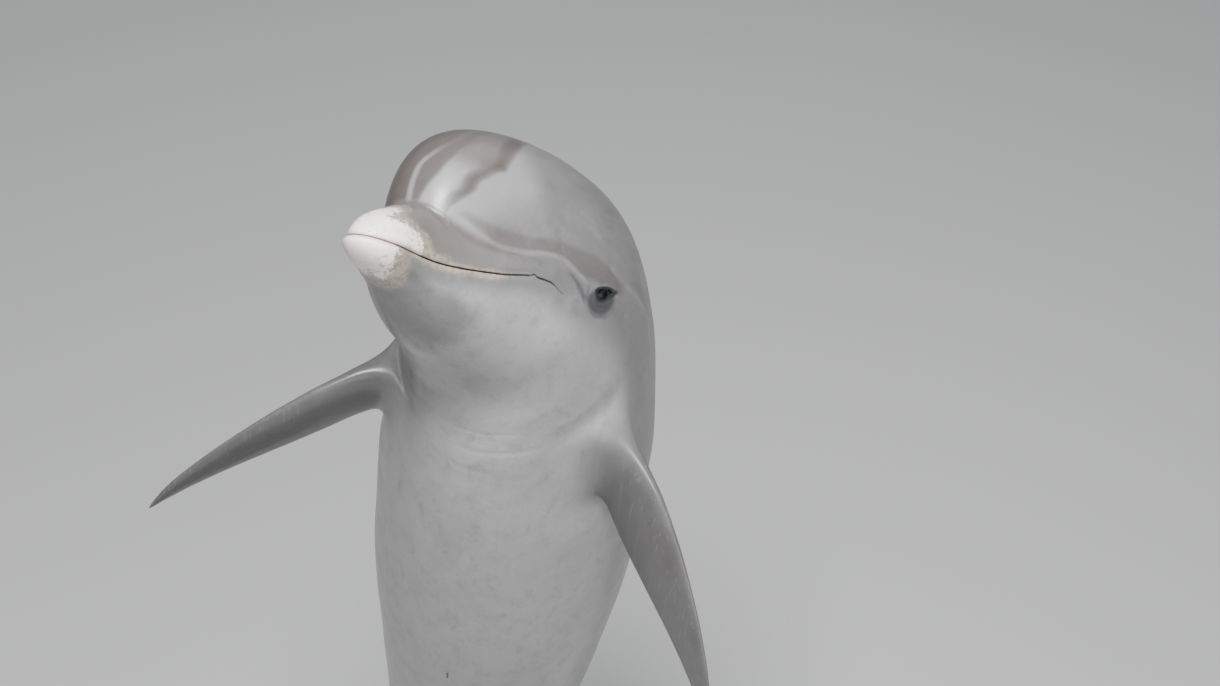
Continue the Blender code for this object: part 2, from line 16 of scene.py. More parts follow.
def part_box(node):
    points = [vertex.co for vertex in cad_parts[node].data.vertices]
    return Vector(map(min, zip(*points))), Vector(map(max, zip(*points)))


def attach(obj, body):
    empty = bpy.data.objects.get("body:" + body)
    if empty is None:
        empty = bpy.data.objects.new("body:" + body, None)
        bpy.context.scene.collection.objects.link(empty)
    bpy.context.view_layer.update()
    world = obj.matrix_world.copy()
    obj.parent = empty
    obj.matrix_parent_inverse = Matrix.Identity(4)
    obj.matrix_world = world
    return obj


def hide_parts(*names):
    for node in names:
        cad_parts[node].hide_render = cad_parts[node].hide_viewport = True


bl_info = {
    "name": "Museum dolphin",
    "version": (1, 0, 0),
    "blender": (4, 5, 0),
    "location": "View3D > Sidebar > Dolphin",
    "description": "Skin, eyes, stand finish and studio for a life-size dolphin model",
    "category": "Add Mesh",
}

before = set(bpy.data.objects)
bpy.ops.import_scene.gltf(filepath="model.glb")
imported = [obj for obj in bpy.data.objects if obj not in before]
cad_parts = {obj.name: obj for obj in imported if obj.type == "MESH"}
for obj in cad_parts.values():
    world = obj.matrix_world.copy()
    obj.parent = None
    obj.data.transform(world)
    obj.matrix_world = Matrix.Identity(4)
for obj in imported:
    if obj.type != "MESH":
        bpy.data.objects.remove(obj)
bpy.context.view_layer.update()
BODY = "root"
FLESH = ("head", "lower_jaw", "trunk", "tail_stock", "dorsal_fin", "flipper_left", "flipper_right",
         "fluke_left", "fluke_right")
SIDES = {"left": 1, "right": -1}

# ---------------------------------------------------------------- the straight body

LENGTH = 2.50  # tip of the upper jaw to the notch of the flukes
UNIT = LENGTH / 100
MIDDLE = math.pi / 2  # the longitude that follows the mouth line; 0 is the back, pi the belly

# The body without its melon: place, back, belly, half width, roundness of the section (2 is an ellipse).
HULL = (
    (0.0, 1.15, -1.15, 1.40, 2.2),
    (1.6, 1.57, -1.50, 1.65, 2.3),
    (3.6, 2.25, -2.45, 1.95, 2.3),
    (6.0, 2.75, -3.85, 3.00, 2.2),
    (8.5, 3.40, -4.85, 4.15, 2.15),
    (11.0, 4.30, -5.55, 5.10, 2.1),
    (14.0, 5.40, -6.45, 6.00, 2.1),
    (18.0, 7.20, -8.05, 6.75, 2.05),
    (24.0, 8.55, -9.30, 7.55, 2.0),
    (32.0, 9.45, -9.80, 8.30, 2.0),
    (40.0, 9.80, -9.45, 8.30, 2.0),
    (50.0, 9.30, -8.40, 7.45, 2.0),
    (60.0, 7.90, -6.80, 5.95, 1.95),
    (70.0, 5.75, -4.90, 4.15, 1.85),
    (80.0, 3.95, -3.40, 2.45, 1.75),
    (88.0, 2.75, -2.50, 1.50, 1.75),
    (92.0, 1.95, -1.80, 1.30, 1.8),
    (95.5, 1.10, -1.05, 1.20, 1.9),
    (100.0, 0.42, -0.42, 1.10, 2.0),
)
# The mouth line as far as its corner, and then the middle of the side.
MOUTH_LINE = (
    (0.0, 0.0), (2.0, -0.22), (5.0, -0.50), (8.0, -0.30), (10.2, 0.02), (11.2, -0.04),
    (12.3, -0.47), (14.0, -0.75), (20.0, -0.35), (32.0, 0.0), (60.0, 0.3), (100.0, 0.0),
)
MOUTH_CORNER = 12.3
# The melon, the swelling of the forehead: place, half width, top.
MELON = (
    (4.7, 3.55, 7.60), (8.0, 4.10, 7.62), (10.0, 4.62, 7.70), (12.0, 5.10, 7.80),
    (14.0, 5.45, 7.86), (17.0, 5.85, 7.86), (20.0, 6.05, 7.78), (26.0, 6.05, 7.45),
)
MELON_FRONT = 4.7  # where it rises out of the beak
MELON_FULL = 11.4  # where it has its full height
MELON_BASE = 1.85  # the height it is measured from
MELON_UNDER = 3.0  # how far it goes on below that
MELON_ROUNDNESS = 2.35
MELON_MEASURE = 0.8  # brings its measure of distance close to the hull's
MELON_FADE = (17.0, 10.0)  # it sinks into the nape from here, over about this length
MELON_FOOT = (3.6, 10.0)  # from here, and over this length, its foot goes from sharp to soft
NOSE_LENGTH = 1.9
TAIL_ROUNDING = 1.6
WIDEST = 16.0  # farther from the middle line than any of the skin
CHIN_JUT = 0.55  # the lower jaw reaches this far past the upper
LIP_STEP = 0.12  # how sharply the jaws part at the tip

# The pose. The trunk stands almost upright, turned a little about the vertical, with its belly to -Y.
TRUNK_TURN = math.radians(20)
TRUNK_LEAN = math.radians(7)  # to its left
NECK = (12.0, 27.0)  # where the head's pose fades into the trunk's
HEAD_BOW = math.radians(40.5)  # towards the belly
HEAD_TURN = math.radians(-23.0)  # to its left, so this turns it to its right
HEAD_ROLL = math.radians(-4.5)
# How far the tail is swung towards the belly, in degrees, along the body.
TAIL_SWING = (
    (0.0, 0.0), (44.0, 0.0), (60.0, 13.0), (76.0, 33.0), (88.0, 38.0), (94.0, 24.0), (100.0, 16.0),
)

# How far apart the rings are along the body, and the longitudes in degrees from the back to the belly.
RING_SPACING = (
    (0.0, 0.020), (0.5, 0.045), (1.2, 0.10), (4.0, 0.12), (9.0, 0.14), (10.0, 0.11), (12.6, 0.11),
    (14.0, 0.16), (15.0, 0.10), (17.0, 0.10), (18.5, 0.20), (24.0, 0.34), (30.0, 0.60), (60.0, 0.66),
    (85.0, 0.60), (92.0, 0.30), (97.0, 0.24), (100.0, 0.12),
)
TURN_SPACING = (
    (0.0, 0.55), (6.0, 1.0), (14.0, 2.4), (60.0, 3.0), (78.0, 1.7), (86.0, 0.80), (90.0, 0.36),
    (94.0, 0.80), (101.0, 1.7), (120.0, 3.0), (166.0, 3.2), (177.0, 1.1), (180.0, 0.7),
)


def curve_through(points):
    """A smooth function through the points that doesn't overshoot them (a monotone cubic)."""
    xs, ys = np.array(points, float).T
    steps = np.diff(xs)
    rises = np.diff(ys) / steps
    slopes = np.zeros_like(ys)
    slopes[0], slopes[-1] = rises[0], rises[-1]
    for i in range(1, len(xs) - 1):
        if rises[i - 1] * rises[i] > 0:
            near, far = 2 * steps[i] + steps[i - 1], steps[i] + 2 * steps[i - 1]
            slopes[i] = (near + far) / (near / rises[i - 1] + far / rises[i])

    def at(x):
        x = np.clip(x, xs[0], xs[-1])
        i = np.clip(np.searchsorted(xs, x, side="right") - 1, 0, len(xs) - 2)
        h = steps[i]
        t = (x - xs[i]) / h
        start = ys[i] * (1 + 2 * t) + slopes[i] * h * t
        end = ys[i + 1] * (3 - 2 * t) + slopes[i + 1] * h * (t - 1)
        return start * (1 - t) ** 2 + end * t**2

    return at


def columns(rows):
    """Smooth functions of the rows' first values, one for each of their other values."""
    table = np.array(rows)
    return [curve_through(table[:, [0, k]]) for k in range(1, table.shape[1])]


back_of, belly_of, half_width_of, roundness_of = columns(HULL)
melon_half_of, melon_top_of = columns(MELON)
mouth_of = curve_through(MOUTH_LINE)
tail_swing_of = curve_through(TAIL_SWING)
ring_spacing_of = curve_through(RING_SPACING)
turn_spacing_of = curve_through(TURN_SPACING)


def unit(vector):
    vector = np.array(vector, float)
    return vector / np.linalg.norm(vector, axis=-1, keepdims=True)


def smooth_step(x, start, end):
    """0 below start and 1 above end, smooth between."""
    t = np.clip((x - start) / (end - start), 0, 1)
    return t * t * (3 - 2 * t)


def hump(x, centre, width):
    """A bell of height 1 at the centre."""
    return np.exp(-(((x - centre) / width) ** 2))


def wrapped(angle):
    """The same angle between -pi and pi."""
    return (angle + math.pi) % (2 * math.pi) - math.pi


def mirror_of(points):
    """Factors that bring each point over to the left side, and from there back."""
    return np.where(points[..., 1:2] < 0, [1.0, -1.0, 1.0], [1.0, 1.0, 1.0])


def quarter_round(t):
    """0 to 1 as t goes from 0 to 1, like the side of a circle."""
    return np.sqrt(np.clip(1 - (1 - np.clip(t, 0, 1)) ** 2, 1e-6, 1))


def smooth_union(a, b, reach):
    """The smaller of two distances, rounded off where they differ by less than the reach."""
    near = np.maximum(reach - np.abs(a - b), 0) / reach
    return np.minimum(a, b) - near * near * reach / 4


def hull_and_melon(s, y, z):
    """About how far a point lies outside the body without its melon, and outside the melon."""
    middle = mouth_of(s)
    ends = quarter_round(s / NOSE_LENGTH) ** 0.9 * quarter_round((100 - s) / TAIL_ROUNDING)
    height = np.where(z > middle, back_of(s) - middle, middle - belly_of(s)) * ends
    width = half_width_of(s) * ends
    power = roundness_of(s)
    reach = (np.abs(y / width) ** power + np.abs((z - middle) / height) ** power) ** (1 / power)
    hull = (reach - 1) * np.minimum(width, height)

    width = melon_half_of(s)
    rise = z - MELON_BASE
    height = np.where(rise > 0, melon_top_of(s) - MELON_BASE, MELON_UNDER)
    ahead = np.maximum(0, (MELON_FULL - s) / (MELON_FULL - MELON_FRONT))
    power = MELON_ROUNDNESS
    reach = (ahead**power + np.abs(y / width) ** power + np.abs(rise / height) ** power) ** (1 / power)
    melon = (reach - 1) * np.minimum(width, height) * MELON_MEASURE
    return hull, melon + 3 * np.maximum(0, (s - MELON_FADE[0]) / MELON_FADE[1]) ** 2


def outside(s, y, z):
    """About how far a point lies outside the plain form."""
    hull, melon = hull_and_melon(s, y, z)
    softening = np.clip((s - MELON_FOOT[0]) / MELON_FOOT[1], 0, 1)
    return smooth_union(hull, melon, 0.25 + 1.2 * softening)


def level_surface(s, longitude):
    """Points of the plain form before the lower jaw juts out, on rays from the middle of each section."""
    s, longitude = np.broadcast_arrays(np.asarray(s, float), np.asarray(longitude, float))
    middle = mouth_of(s)
    across, up = np.sin(longitude), np.cos(longitude)
    near, far = np.zeros_like(s), np.full_like(s, WIDEST)
    for _ in range(24):
        half = (near + far) / 2
        inside = outside(s, half * across, middle + half * up) < 0
        near = np.where(inside, half, near)
        far = np.where(inside, far, half)
    return np.stack([s, near * across, middle + near * up], -1)


def jut(s, z):
    """How far ahead of its station s a point lies, because the lower jaw reaches past the upper one."""
    lower = 1 / (1 + np.exp(np.clip((z - mouth_of(s)) / LIP_STEP, -50, 50)))
    return CHIN_JUT * lower * np.clip(1 - s / 6, 0, 1) ** 1.5


def surface(s, longitude):
    """Points of the plain form."""
    points = level_surface(s, longitude)
    points[..., 0] -= jut(points[..., 0], points[..., 2])
    return points


def normals_at(s, longitude):
    """Outward directions of the plain form."""
    step = np.minimum(0.04, 0.3 * s + 0.0005)
    ahead = level_surface(s - step, longitude)
    behind = level_surface(np.minimum(s + step, 99.998), longitude)
    right, left = level_surface(s, longitude - 0.004), level_surface(s, longitude + 0.004)
    normal = unit(np.cross(left - right, behind - ahead) + 1e-12)
    outward = np.stack([s * 0, np.sin(longitude), np.cos(longitude)], -1)
    return normal * np.where((normal * outward).sum(-1, keepdims=True) < 0, -1, 1)


def spaced_out(fine, steps, spacing_of):
    """How many spacings lie before each of the fine places, and their nearest whole number in all."""
    count = np.concatenate([[0], np.cumsum(steps / spacing_of((fine[1:] + fine[:-1]) / 2))])
    return count, int(round(count[-1]))


def ring_stations():
    """Places for the rings, closer together where the skin turns across the body."""
    fine = 50 * (1 - np.cos(np.linspace(0, math.pi, 6000)))
    lines = surface(fine[:, None], np.radians([0, 40, 90, 180])[None, :])
    steps = np.linalg.norm(np.diff(lines, axis=0), axis=-1).max(axis=1)
    count, rings = spaced_out(fine, steps, ring_spacing_of)
    return np.interp(np.arange(1, rings) * count[-1] / rings, count, fine)


def longitude_lines():
    """Longitudes round the body, with lines along the back, the mouth line and the belly."""
    half = []
    for start, end in ((0, 90), (90, 180)):
        fine = np.linspace(start, end, 2000)
        count, lines = spaced_out(fine, np.diff(fine), turn_spacing_of)
        half.append(np.interp(np.arange(lines) * count[-1] / lines, count, fine))
    half = np.concatenate(half)
    return np.radians(np.concatenate([half, [180.0], 360 - half[:0:-1]]))


class Spine:
    """The bent spine: the middle of the body and its forward, left and back directions at each station."""

    def __init__(self):
        self.places = np.linspace(-4, 106, 1101)
        upright = Matrix(((0, 1, 0), (0, 0, 1), (1, 0, 0)))
        trunk = (Matrix.Rotation(-TRUNK_TURN, 3, "Z") @ upright) @ Matrix.Rotation(TRUNK_LEAN, 3, "Z")
        head = (Matrix.Rotation(HEAD_TURN, 3, "Z") @ Matrix.Rotation(HEAD_BOW, 3, "Y")
                @ Matrix.Rotation(HEAD_ROLL, 3, "X")).to_quaternion()
        straight = Matrix.Identity(3).to_quaternion()
        frames = []
        for s in self.places:
            share = 1 - float(smooth_step(s, *NECK))
            turned = straight.slerp(head, share).to_matrix()
            swung = Matrix.Rotation(-math.radians(float(tail_swing_of(s))), 3, "Y")
            frames.append(np.array(trunk @ turned @ swung))
        self.frames = np.array(frames)
        forward = self.frames[:, :, 0]
        steps = (forward[1:] + forward[:-1]) / 2 * np.diff(self.places)[:, None]
        self.middle = -np.concatenate([np.zeros((1, 3)), np.cumsum(steps, axis=0)]) * UNIT

    def stand_on(self, place, point):
        """Moves the spine until a place of the straight body, (point, carrier), lies at this point."""
        self.middle += np.array(point) - self.bend(np.array(place[0]), np.array(place[1]))

    def at(self, s):
        """Middle and 3 x 3 frame at the stations s."""
        middle = np.stack([np.interp(s, self.places, self.middle[:, k]) for k in range(3)], -1)
        cells = self.frames.reshape(-1, 9).T
        turned = np.stack([np.interp(s, self.places, cell) for cell in cells], -1)
        return middle, turned.reshape(np.shape(s) + (3, 3))

    def bend(self, points, carriers=None):
        """Points of the straight body, in hundredths, to metres in the pose.

        Each point follows its own station of the spine, or the carrier's.
        """
        points = np.asarray(points, float)
        carriers = points[..., 0] if carriers is None else np.asarray(carriers, float)
        middle, turned = self.at(carriers)
        local = points * UNIT
        local[..., 0] = (carriers - points[..., 0]) * UNIT
        return middle + np.einsum("...ij,...j->...i", turned, local)


# ---------------------------------------------------------------- eyes

EYE_PLACE = (15.45, 0.30)  # s and z
# These are in metres.
EYE_RADIUS = 0.0170
EYE_PROUD = 0.0020  # how far the ball stands out of the plain form
PUPIL_HALF = (0.0044, 0.0024)  # half width and half height
PUPIL_DROP = 0.0006


def eye_in_body():
    """The left eye in the straight body: ball's middle, skin over it, outward direction and longitude."""
    s, z = EYE_PLACE
    longitudes = np.radians(np.linspace(60, 110, 400))
    line = surface(np.full(400, s), longitudes)
    found = longitudes[int(np.abs(line[:, 2] - z).argmin())]
    point = surface(s, found)
    normal = unit(np.cross(surface(s + 0.5, found) - surface(s - 0.5, found),
                           surface(s, found - 0.05) - surface(s, found + 0.05)))
    normal = normal if normal[1] > 0 else -normal
    return point - normal * (EYE_RADIUS - EYE_PROUD) / UNIT, point, normal, found


EYE_MIDDLE, EYE_SKIN, EYE_OUT, EYE_LONGITUDE = eye_in_body()
EYE_AHEAD = unit(np.array([-1.0, 0, 0]) + EYE_OUT * EYE_OUT[0])
EYE_UP = np.cross(EYE_AHEAD, EYE_OUT)
EYE_UP = EYE_UP if EYE_UP[2] > 0 else -EYE_UP


def box_centre(node):
    low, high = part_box(node)
    return (np.array(low) + np.array(high)) / 2


def posed_spine():
    """The spine in its pose, set where the frame's left eye says."""
    spine = Spine()
    spine.stand_on((EYE_MIDDLE, EYE_PLACE[0]), box_centre("eye_left"))
    return spine


# ---------------------------------------------------------------- folds and lips of the skin

MM = 0.001 / UNIT  # a millimetre in hundredths of the length
# The groove between the lips: s, then its depth and half width in millimetres.
LIP_GROOVE = (
    (0.0, 8.5, 8.0), (1.8, 7.6, 7.0), (3.4, 5.6, 4.6), (6.0, 4.6, 3.2), (9.0, 3.8, 2.6),
    (11.0, 3.2, 2.2), (12.3, 2.2, 1.8),
)
# The crease round the melon's foot, in the same way.
MELON_CREASE = (
    (3.4, 0.0, 3.0), (4.3, 5.5, 3.2), (5.2, 4.2, 3.6), (6.6, 3.0, 4.6), (9.0, 1.8, 7.0),
    (13.0, 0.6, 10.0), (15.0, 0.0, 10.0),
)
BLOWHOLE = (16.0, 0.95, 0.50)  # s, half width and how far its ends reach forward
NECK_FOLDS = ((18.6, 0.8), (21.1, 1.2), (24.4, 0.9))  # s and depth under the throat
# The navel and the slits behind it: s and half length, then depth and half width in millimetres.
BELLY_MARKS = ((46.2, 0.45, 1.6, 2.2), (62.2, 2.1, 3.2, 2.6), (66.6, 0.40, 2.2, 2.2))
EAR_PLACE = (EYE_PLACE[0] + 2.2, EYE_PLACE[1] - 0.25)

groove_depth_of, groove_half_of = columns(LIP_GROOVE)
crease_depth_of, crease_half_of = columns(MELON_CREASE)


def mouth_distance(s, z):
    """Millimetres above the lips' line; near the corner the upper lip steps over the lower one."""
    step = 0.10 * hump(s, 10.05, 0.16) - 0.03 * smooth_step(s, 10.1, 10.4)
    return (z - mouth_of(s) - step) / MM


def rounded_lips(distance, half):
    """1 in the line where two rounded lips meet, and 0 beyond their half widths."""
    t = np.clip(1 - np.abs(distance) / half, 0, 1)
    return 1 - np.sqrt(np.clip(1 - t**2, 0, 1))


def blowhole_distance(s, y):
    """Distance from the blowhole's slit, in millimetres, and the share along it."""
    place, half, reach = BLOWHOLE
    along = y / half
    line = place - reach * along**2
    past = np.maximum(np.abs(along) - 1, 0) * half
    return np.hypot(s - line, past) / MM, along


def belly_mark_distance(s, y, place, half_length):
    """Distance from a slit along the middle of the belly, in millimetres."""
    past = np.maximum(np.abs(s - place) - half_length, 0) / MM
    return np.hypot(y / MM, past)


def slow_waves(points):
    """A gentle unevenness between -1 and 1, some 10 cm from crest to crest."""
    x, y, z = np.moveaxis(points, -1, 0)
    waves = (np.sin(0.9 * x + 1.3 * y + 0.4) + np.sin(1.1 * y - 0.7 * z + 0.33 * x + 2.0)
             + np.sin(1.4 * z + 0.5 * x + 4.1) + np.sin(0.35 * x - 1.7 * z + 1.0 * y))
    return waves / 4


def relief(points, s, longitude):
    """How far the skin stands out from the plain form, in millimetres."""
    y, z = points[..., 1], points[..., 2]
    turn = np.abs(wrapped(longitude))
    side = np.degrees(turn)
    near_mouth = ((side > 45) & (side < 140)) | (s < 3)
    gap = mouth_distance(s, z)
    lips = 1 - smooth_step(s, MOUTH_CORNER - 0.35, MOUTH_CORNER + 0.25)
    grooved = rounded_lips(gap, groove_half_of(s)) * groove_depth_of(s) * lips
    full = (0.9 * hump(gap, 8.5, 5.0) + 0.8 * hump(gap, -8.5, 5.0)) * lips * smooth_step(s, 0.2, 1.2)
    corner = 1.1 * hump(s, MOUTH_CORNER + 0.75, 0.45) * hump(gap, -6.0, 12.0)
    stand = np.where(near_mouth, full - grooved + corner, 0.0)

    hull, melon = hull_and_melon(s, y, z)
    crossing = (hull - melon) / MM
    stand -= np.where(side < 88, crease_depth_of(s) * hump(crossing, 0.0, crease_half_of(s)), 0.0)

    away, along = blowhole_distance(s, y)
    upper = side < 60
    stand += np.where(upper, -1.6 * hump(away, 0, 24) + 1.3 * hump(away, 6.5, 3.5), 0.0)
    stand -= np.where(upper, 5.5 * hump(away, 0, 2.6) * smooth_step(1.25 - np.abs(along), 0, 0.4), 0.0)

    under = smooth_step(side, 96, 150)
    for place, depth in NECK_FOLDS:
        waved = s - place - 0.30 * np.sin(1.3 * y / 5 + place) - 0.9 * (np.cos(turn) + 1)
        fade = 0.55 + 0.45 * np.sin(0.8 * y + 2.1 * place)
        stand -= under * depth * fade * (hump(waved, 0, 0.19) - 0.35 * hump(waved, 0.5, 0.40))
    for place, half_length, depth, half in BELLY_MARKS:
        off = belly_mark_distance(s, y, place, half_length)
        stand -= np.where(side > 150, depth * hump(off, 0, half) - 0.8 * hump(off, 2.2 * half, half), 0.0)
    ear = np.hypot(s - EAR_PLACE[0], z - EAR_PLACE[1]) / MM
    stand -= np.where(near_mouth, 1.4 * hump(ear, 0, 3.0), 0.0)
    return stand + 0.7 * slow_waves(points) * smooth_step(s, 3, 12)


LID_THICKNESS = 1.7 * MM
# The opening's half length, and its heights over and under the line of its corners, in millimetres.
EYE_OPENING = (17.6, 5.0, 11.6)
CORNER_LINE = 3.0  # how far that line passes over the eye's middle
EYE_TILT = math.radians(18)  # the front corner sits lower


def lid_arches(share):
    """How far the upper and lower lids stand from the line of the corners, from -1 behind to 1 ahead."""
    _, over, under = EYE_OPENING
    ahead = np.maximum(1 - share, 0)
    return over * (1 + share) ** 0.70 * ahead**0.55 / 1.02, under * (1 + share) ** 1.05 * ahead**0.50 / 1.17


def eye_coordinates(points):
    """Forward, up and outward places about the left eye, in millimetres, of points on the left side."""
    local = (points - EYE_SKIN) / MM
    ahead, up, out = local @ EYE_AHEAD, local @ EYE_UP, local @ EYE_OUT
    tilted_ahead = ahead * math.cos(EYE_TILT) - up * math.sin(EYE_TILT)
    tilted_up = ahead * math.sin(EYE_TILT) + up * math.cos(EYE_TILT)
    return tilted_ahead, tilted_up, out


def round_the_eye(ahead, up):
    """Measures for the folds round an eye.

    They are the distance out in slow waves, the share below the eye, and the places behind and above its
    rear corner.
    """
    out = np.hypot((ahead - 4.0) / 1.2, up + 4.0) + 0.9 * np.sin(0.21 * ahead + 0.5)
    below = smooth_step(-up + 0.5 * ahead, -4, 12)
    behind = -ahead - 17.0
    return out, below, behind, up - CORNER_LINE - 0.12 * behind


def over_eyeball(points):
    """Raises points near the left eye onto lids that lie over the ball, with soft folds round them."""
    ahead, up, _ = eye_coordinates(points)
    out, below, behind, above = round_the_eye(ahead, up)
    local = points - EYE_MIDDLE
    height = local @ EYE_OUT
    rho = np.sqrt(np.maximum((local**2).sum(-1) - height**2, 0))
    ball = np.sqrt(np.maximum((EYE_RADIUS / UNIT) ** 2 - rho**2, 0))
    near = rho < EYE_RADIUS / UNIT * 1.6
    swell = 2.2 * hump(rho / MM, 0, 20)
    fold = -0.7 * hump(out, 28.0, 3.2) - 0.35 * hump(out, 20.0, 1.8) - 0.18 * hump(out, 23.8, 1.3)
    fold = fold * below * (1 - 0.6 * smooth_step(-ahead, 2, 16))
    over_lid = up - 13.5 + 0.014 * (ahead - 3) ** 2
    fold = fold - 0.8 * hump(over_lid, 0, 1.7) * (1 - smooth_step(np.abs(ahead), 14, 24))
    fold = fold - hump(above, 0, 1.6) * smooth_step(behind, -3, 1) * (1 - smooth_step(behind, 6, 15))
    base = height + (swell + fold) * MM
    lid = ball + LID_THICKNESS
    raised = -smooth_union(-base, -lid, 1.2 * MM)
    target = np.where(near, np.maximum(raised, base), base)
    fade = 1 - smooth_step(rho / MM, 36, 48)
    return points + ((target - height) * fade)[..., None] * EYE_OUT


def skin_at(s, longitude):
    """Points of the skin with its relief and its lids."""
    s, longitude = np.broadcast_arrays(np.asarray(s, float), np.asarray(longitude, float))
    plain = level_surface(s, longitude)
    stand = relief(plain, s, longitude)
    skin = plain + normals_at(s, longitude) * stand[..., None] * MM
    skin[..., 0] -= jut(s, plain[..., 2])
    near = np.abs(s - EYE_PLACE[0]) < 2.2
    mirror = mirror_of(skin)
    lidded = over_eyeball(skin * mirror) * mirror
    return np.where(near[..., None], lidded, skin)


# ---------------------------------------------------------------- fins


class Fin:
    """A fin: a wing of sections along its span, grown out of a window in the body's grid.

    Its root is (s, longitude), its window (half length in s, half width in metres), and its softness says
    how much its root is evened out.
    """

    TIP_ROUNDING = 0.86  # the share of the span where the tip starts to close
    TIP_PLACE = 0.62  # the share of the chord behind the leading edge where it closes
    SKIN_HALF = 0.0016  # added to each side, so that the thin edges stay round

    def __init__(self, root, span, direction, chord, planform, thickness, window, fillet, softness=1.0):
        self.root_s, self.root_longitude = root
        self.softness = softness
        self.span, self.window, self.fillet = span / UNIT, window, fillet / UNIT
        self.root = surface(*root)
        self.direction = unit(direction)
        chord = np.array(chord, float)
        self.chord = unit(chord - self.direction * chord.dot(self.direction))
        self.normal = np.cross(self.direction, self.chord)
        outline = [(t, lead / UNIT, trail / UNIT) for t, lead, trail in planform]
        self.lead_of, self.trail_of = columns(outline)
        self.thickness_of = curve_through(thickness)
        around = surface(self.root_s, self.root_longitude + 0.05) - self.root
        if self.normal.dot(around) < 0:
            self.normal = -self.normal

    def section(self, t, angle):
        """Points of the section at t of the span; the angle is 0 at its front edge and pi at its rear."""
        along = (1 - np.cos(angle)) / 2
        lead, trail = self.lead_of(t), self.trail_of(t)
        closing = np.maximum(t - self.TIP_ROUNDING, 0) / (1 - self.TIP_ROUNDING)
        tip = np.sqrt(np.clip(1 - closing**2, 0, 1))
        middle = lead - (lead - trail) * self.TIP_PLACE
        lead, trail = middle + (lead - middle) * tip, middle + (trail - middle) * tip
        width = lead - trail
        # The thickness of a classic symmetrical wing.
        profile = (0.2969 * np.sqrt(along) - 0.1260 * along - 0.3516 * along**2 + 0.2843 * along**3
                   - 0.1036 * along**4)
        half = 5 * self.thickness_of(t) * width * profile
        half = half + self.SKIN_HALF / UNIT * np.abs(np.sin(angle)) * tip
        side = np.where(np.sin(angle) < 0, -1.0, 1.0)
        return (self.root + np.multiply.outer(np.asarray(t) * self.span, self.direction)
                + np.multiply.outer(lead - along * width, self.chord)
                + np.multiply.outer(side * half, self.normal))


# Planforms: share of the span, leading edge and trailing edge ahead of the root's middle, in metres.
FLIPPER_SHAPE = (
    (0.0, 0.078, -0.072), (0.2, 0.072, -0.080), (0.4, 0.054, -0.084), (0.6, 0.022, -0.084),
    (0.8, -0.024, -0.090), (0.92, -0.062, -0.102), (1.0, -0.095, -0.118),
)
DORSAL_SHAPE = (
    (0.0, 0.185, -0.150), (0.25, 0.112, -0.126), (0.5, 0.034, -0.122), (0.75, -0.060, -0.142),
    (0.9, -0.126, -0.172), (1.0, -0.176, -0.204),
)
FLUKE_SHAPE = (
    (0.0, 0.130, -0.104), (0.15, 0.106, -0.134), (0.35, 0.064, -0.148), (0.6, 0.004, -0.146),
    (0.8, -0.056, -0.150), (0.93, -0.110, -0.164), (1.0, -0.150, -0.184),
)


def fins():
    """Every fin of the body. Directions are (towards the tail, to the left, towards the back)."""
    made = []
    for side in SIDES.values():
        twist = math.radians(8 if side > 0 else -15)
        back, out, down = (0.35, 0.73, -0.59) if side > 0 else (0.25, 0.72, -0.65)
        flipper = Fin(
            root=(25.2, side * math.radians(121)), span=0.41, direction=(back, out * side, down),
            chord=(-math.cos(twist), 0.6 * math.sin(twist) * side, 0.8 * math.sin(twist)),
            planform=FLIPPER_SHAPE, thickness=((0, 0.24), (0.25, 0.17), (0.7, 0.12), (1, 0.12)),
            window=(3.9, 0.075), fillet=0.030)
        fluke = Fin(
            root=(95.2, side * MIDDLE), span=0.275, direction=(0, side, 0), chord=(-1, 0, 0),
            planform=FLUKE_SHAPE, thickness=((0, 0.17), (0.3, 0.12), (1, 0.10)),
            window=(4.75, 0.026), fillet=0.034, softness=0.7)
        made += [flipper, fluke]
    dorsal_fin = Fin(
        root=(53.5, 0.0), span=0.235, direction=(0.0, 0, 1), chord=(-1, 0, 0.12),
        planform=DORSAL_SHAPE, thickness=((0, 0.15), (0.4, 0.11), (1, 0.10)),
        window=(7.6, 0.070), fillet=0.030)
    return [*made, dorsal_fin]


# ---------------------------------------------------------------- markings

FIN_SHADE = 0.95  # how fully the fins take their own grey
FAR_OFF = 30.0  # millimetres, where distances to thin lines stop counting
# Lines along the sides of the head. The dark band runs from the melon's foot to the eye, the pale line
# below it, and the shady line below the rear end of that. Each is given as s and z of its middle; the
# band's half width is given by s as well.
EYE_BAND = (
    (5.8, 2.42), (6.6, 2.05), (8.0, 1.66), (9.2, 1.66), (10.5, 1.79), (11.6, 1.80), (12.4, 1.66),
    (13.2, 1.50), (14.4, 1.42), (15.6, 1.30), (16.6, 1.10),
)
EYE_BAND_HALF = (
    (5.8, 0.12), (6.6, 0.28), (8.0, 0.42), (9.2, 0.38), (10.5, 0.34), (11.6, 0.38), (12.4, 0.50),
    (13.2, 0.66), (14.4, 0.70), (15.6, 0.52), (16.6, 0.30),
)
PALE_LINE = (
    (5.4, 2.30), (6.6, 1.56), (8.0, 1.12), (9.2, 1.14), (10.5, 1.36), (11.5, 1.38), (12.3, 1.18),
    (13.1, 0.80), (13.9, 0.42),
)
SHADY_LINE = ((11.0, 1.10), (11.8, 0.98), (12.5, 0.68), (13.1, 0.28), (13.6, -0.12), (14.1, -0.58))

# Where the dark cape ends and the pale belly begins: s, and degrees from the back.
cape_edge_of = curve_through((
    (0, 20), (14, 30), (20, 58), (30, 74), (50, 70), (62, 84), (78, 108), (90, 150), (100, 175),
))
belly_edge_of = curve_through((
    (0, 150), (4, 118), (8, 101), (14, 97), (19, 101), (24, 108), (40, 112), (58, 122), (72, 146),
    (84, 176), (100, 190),
))

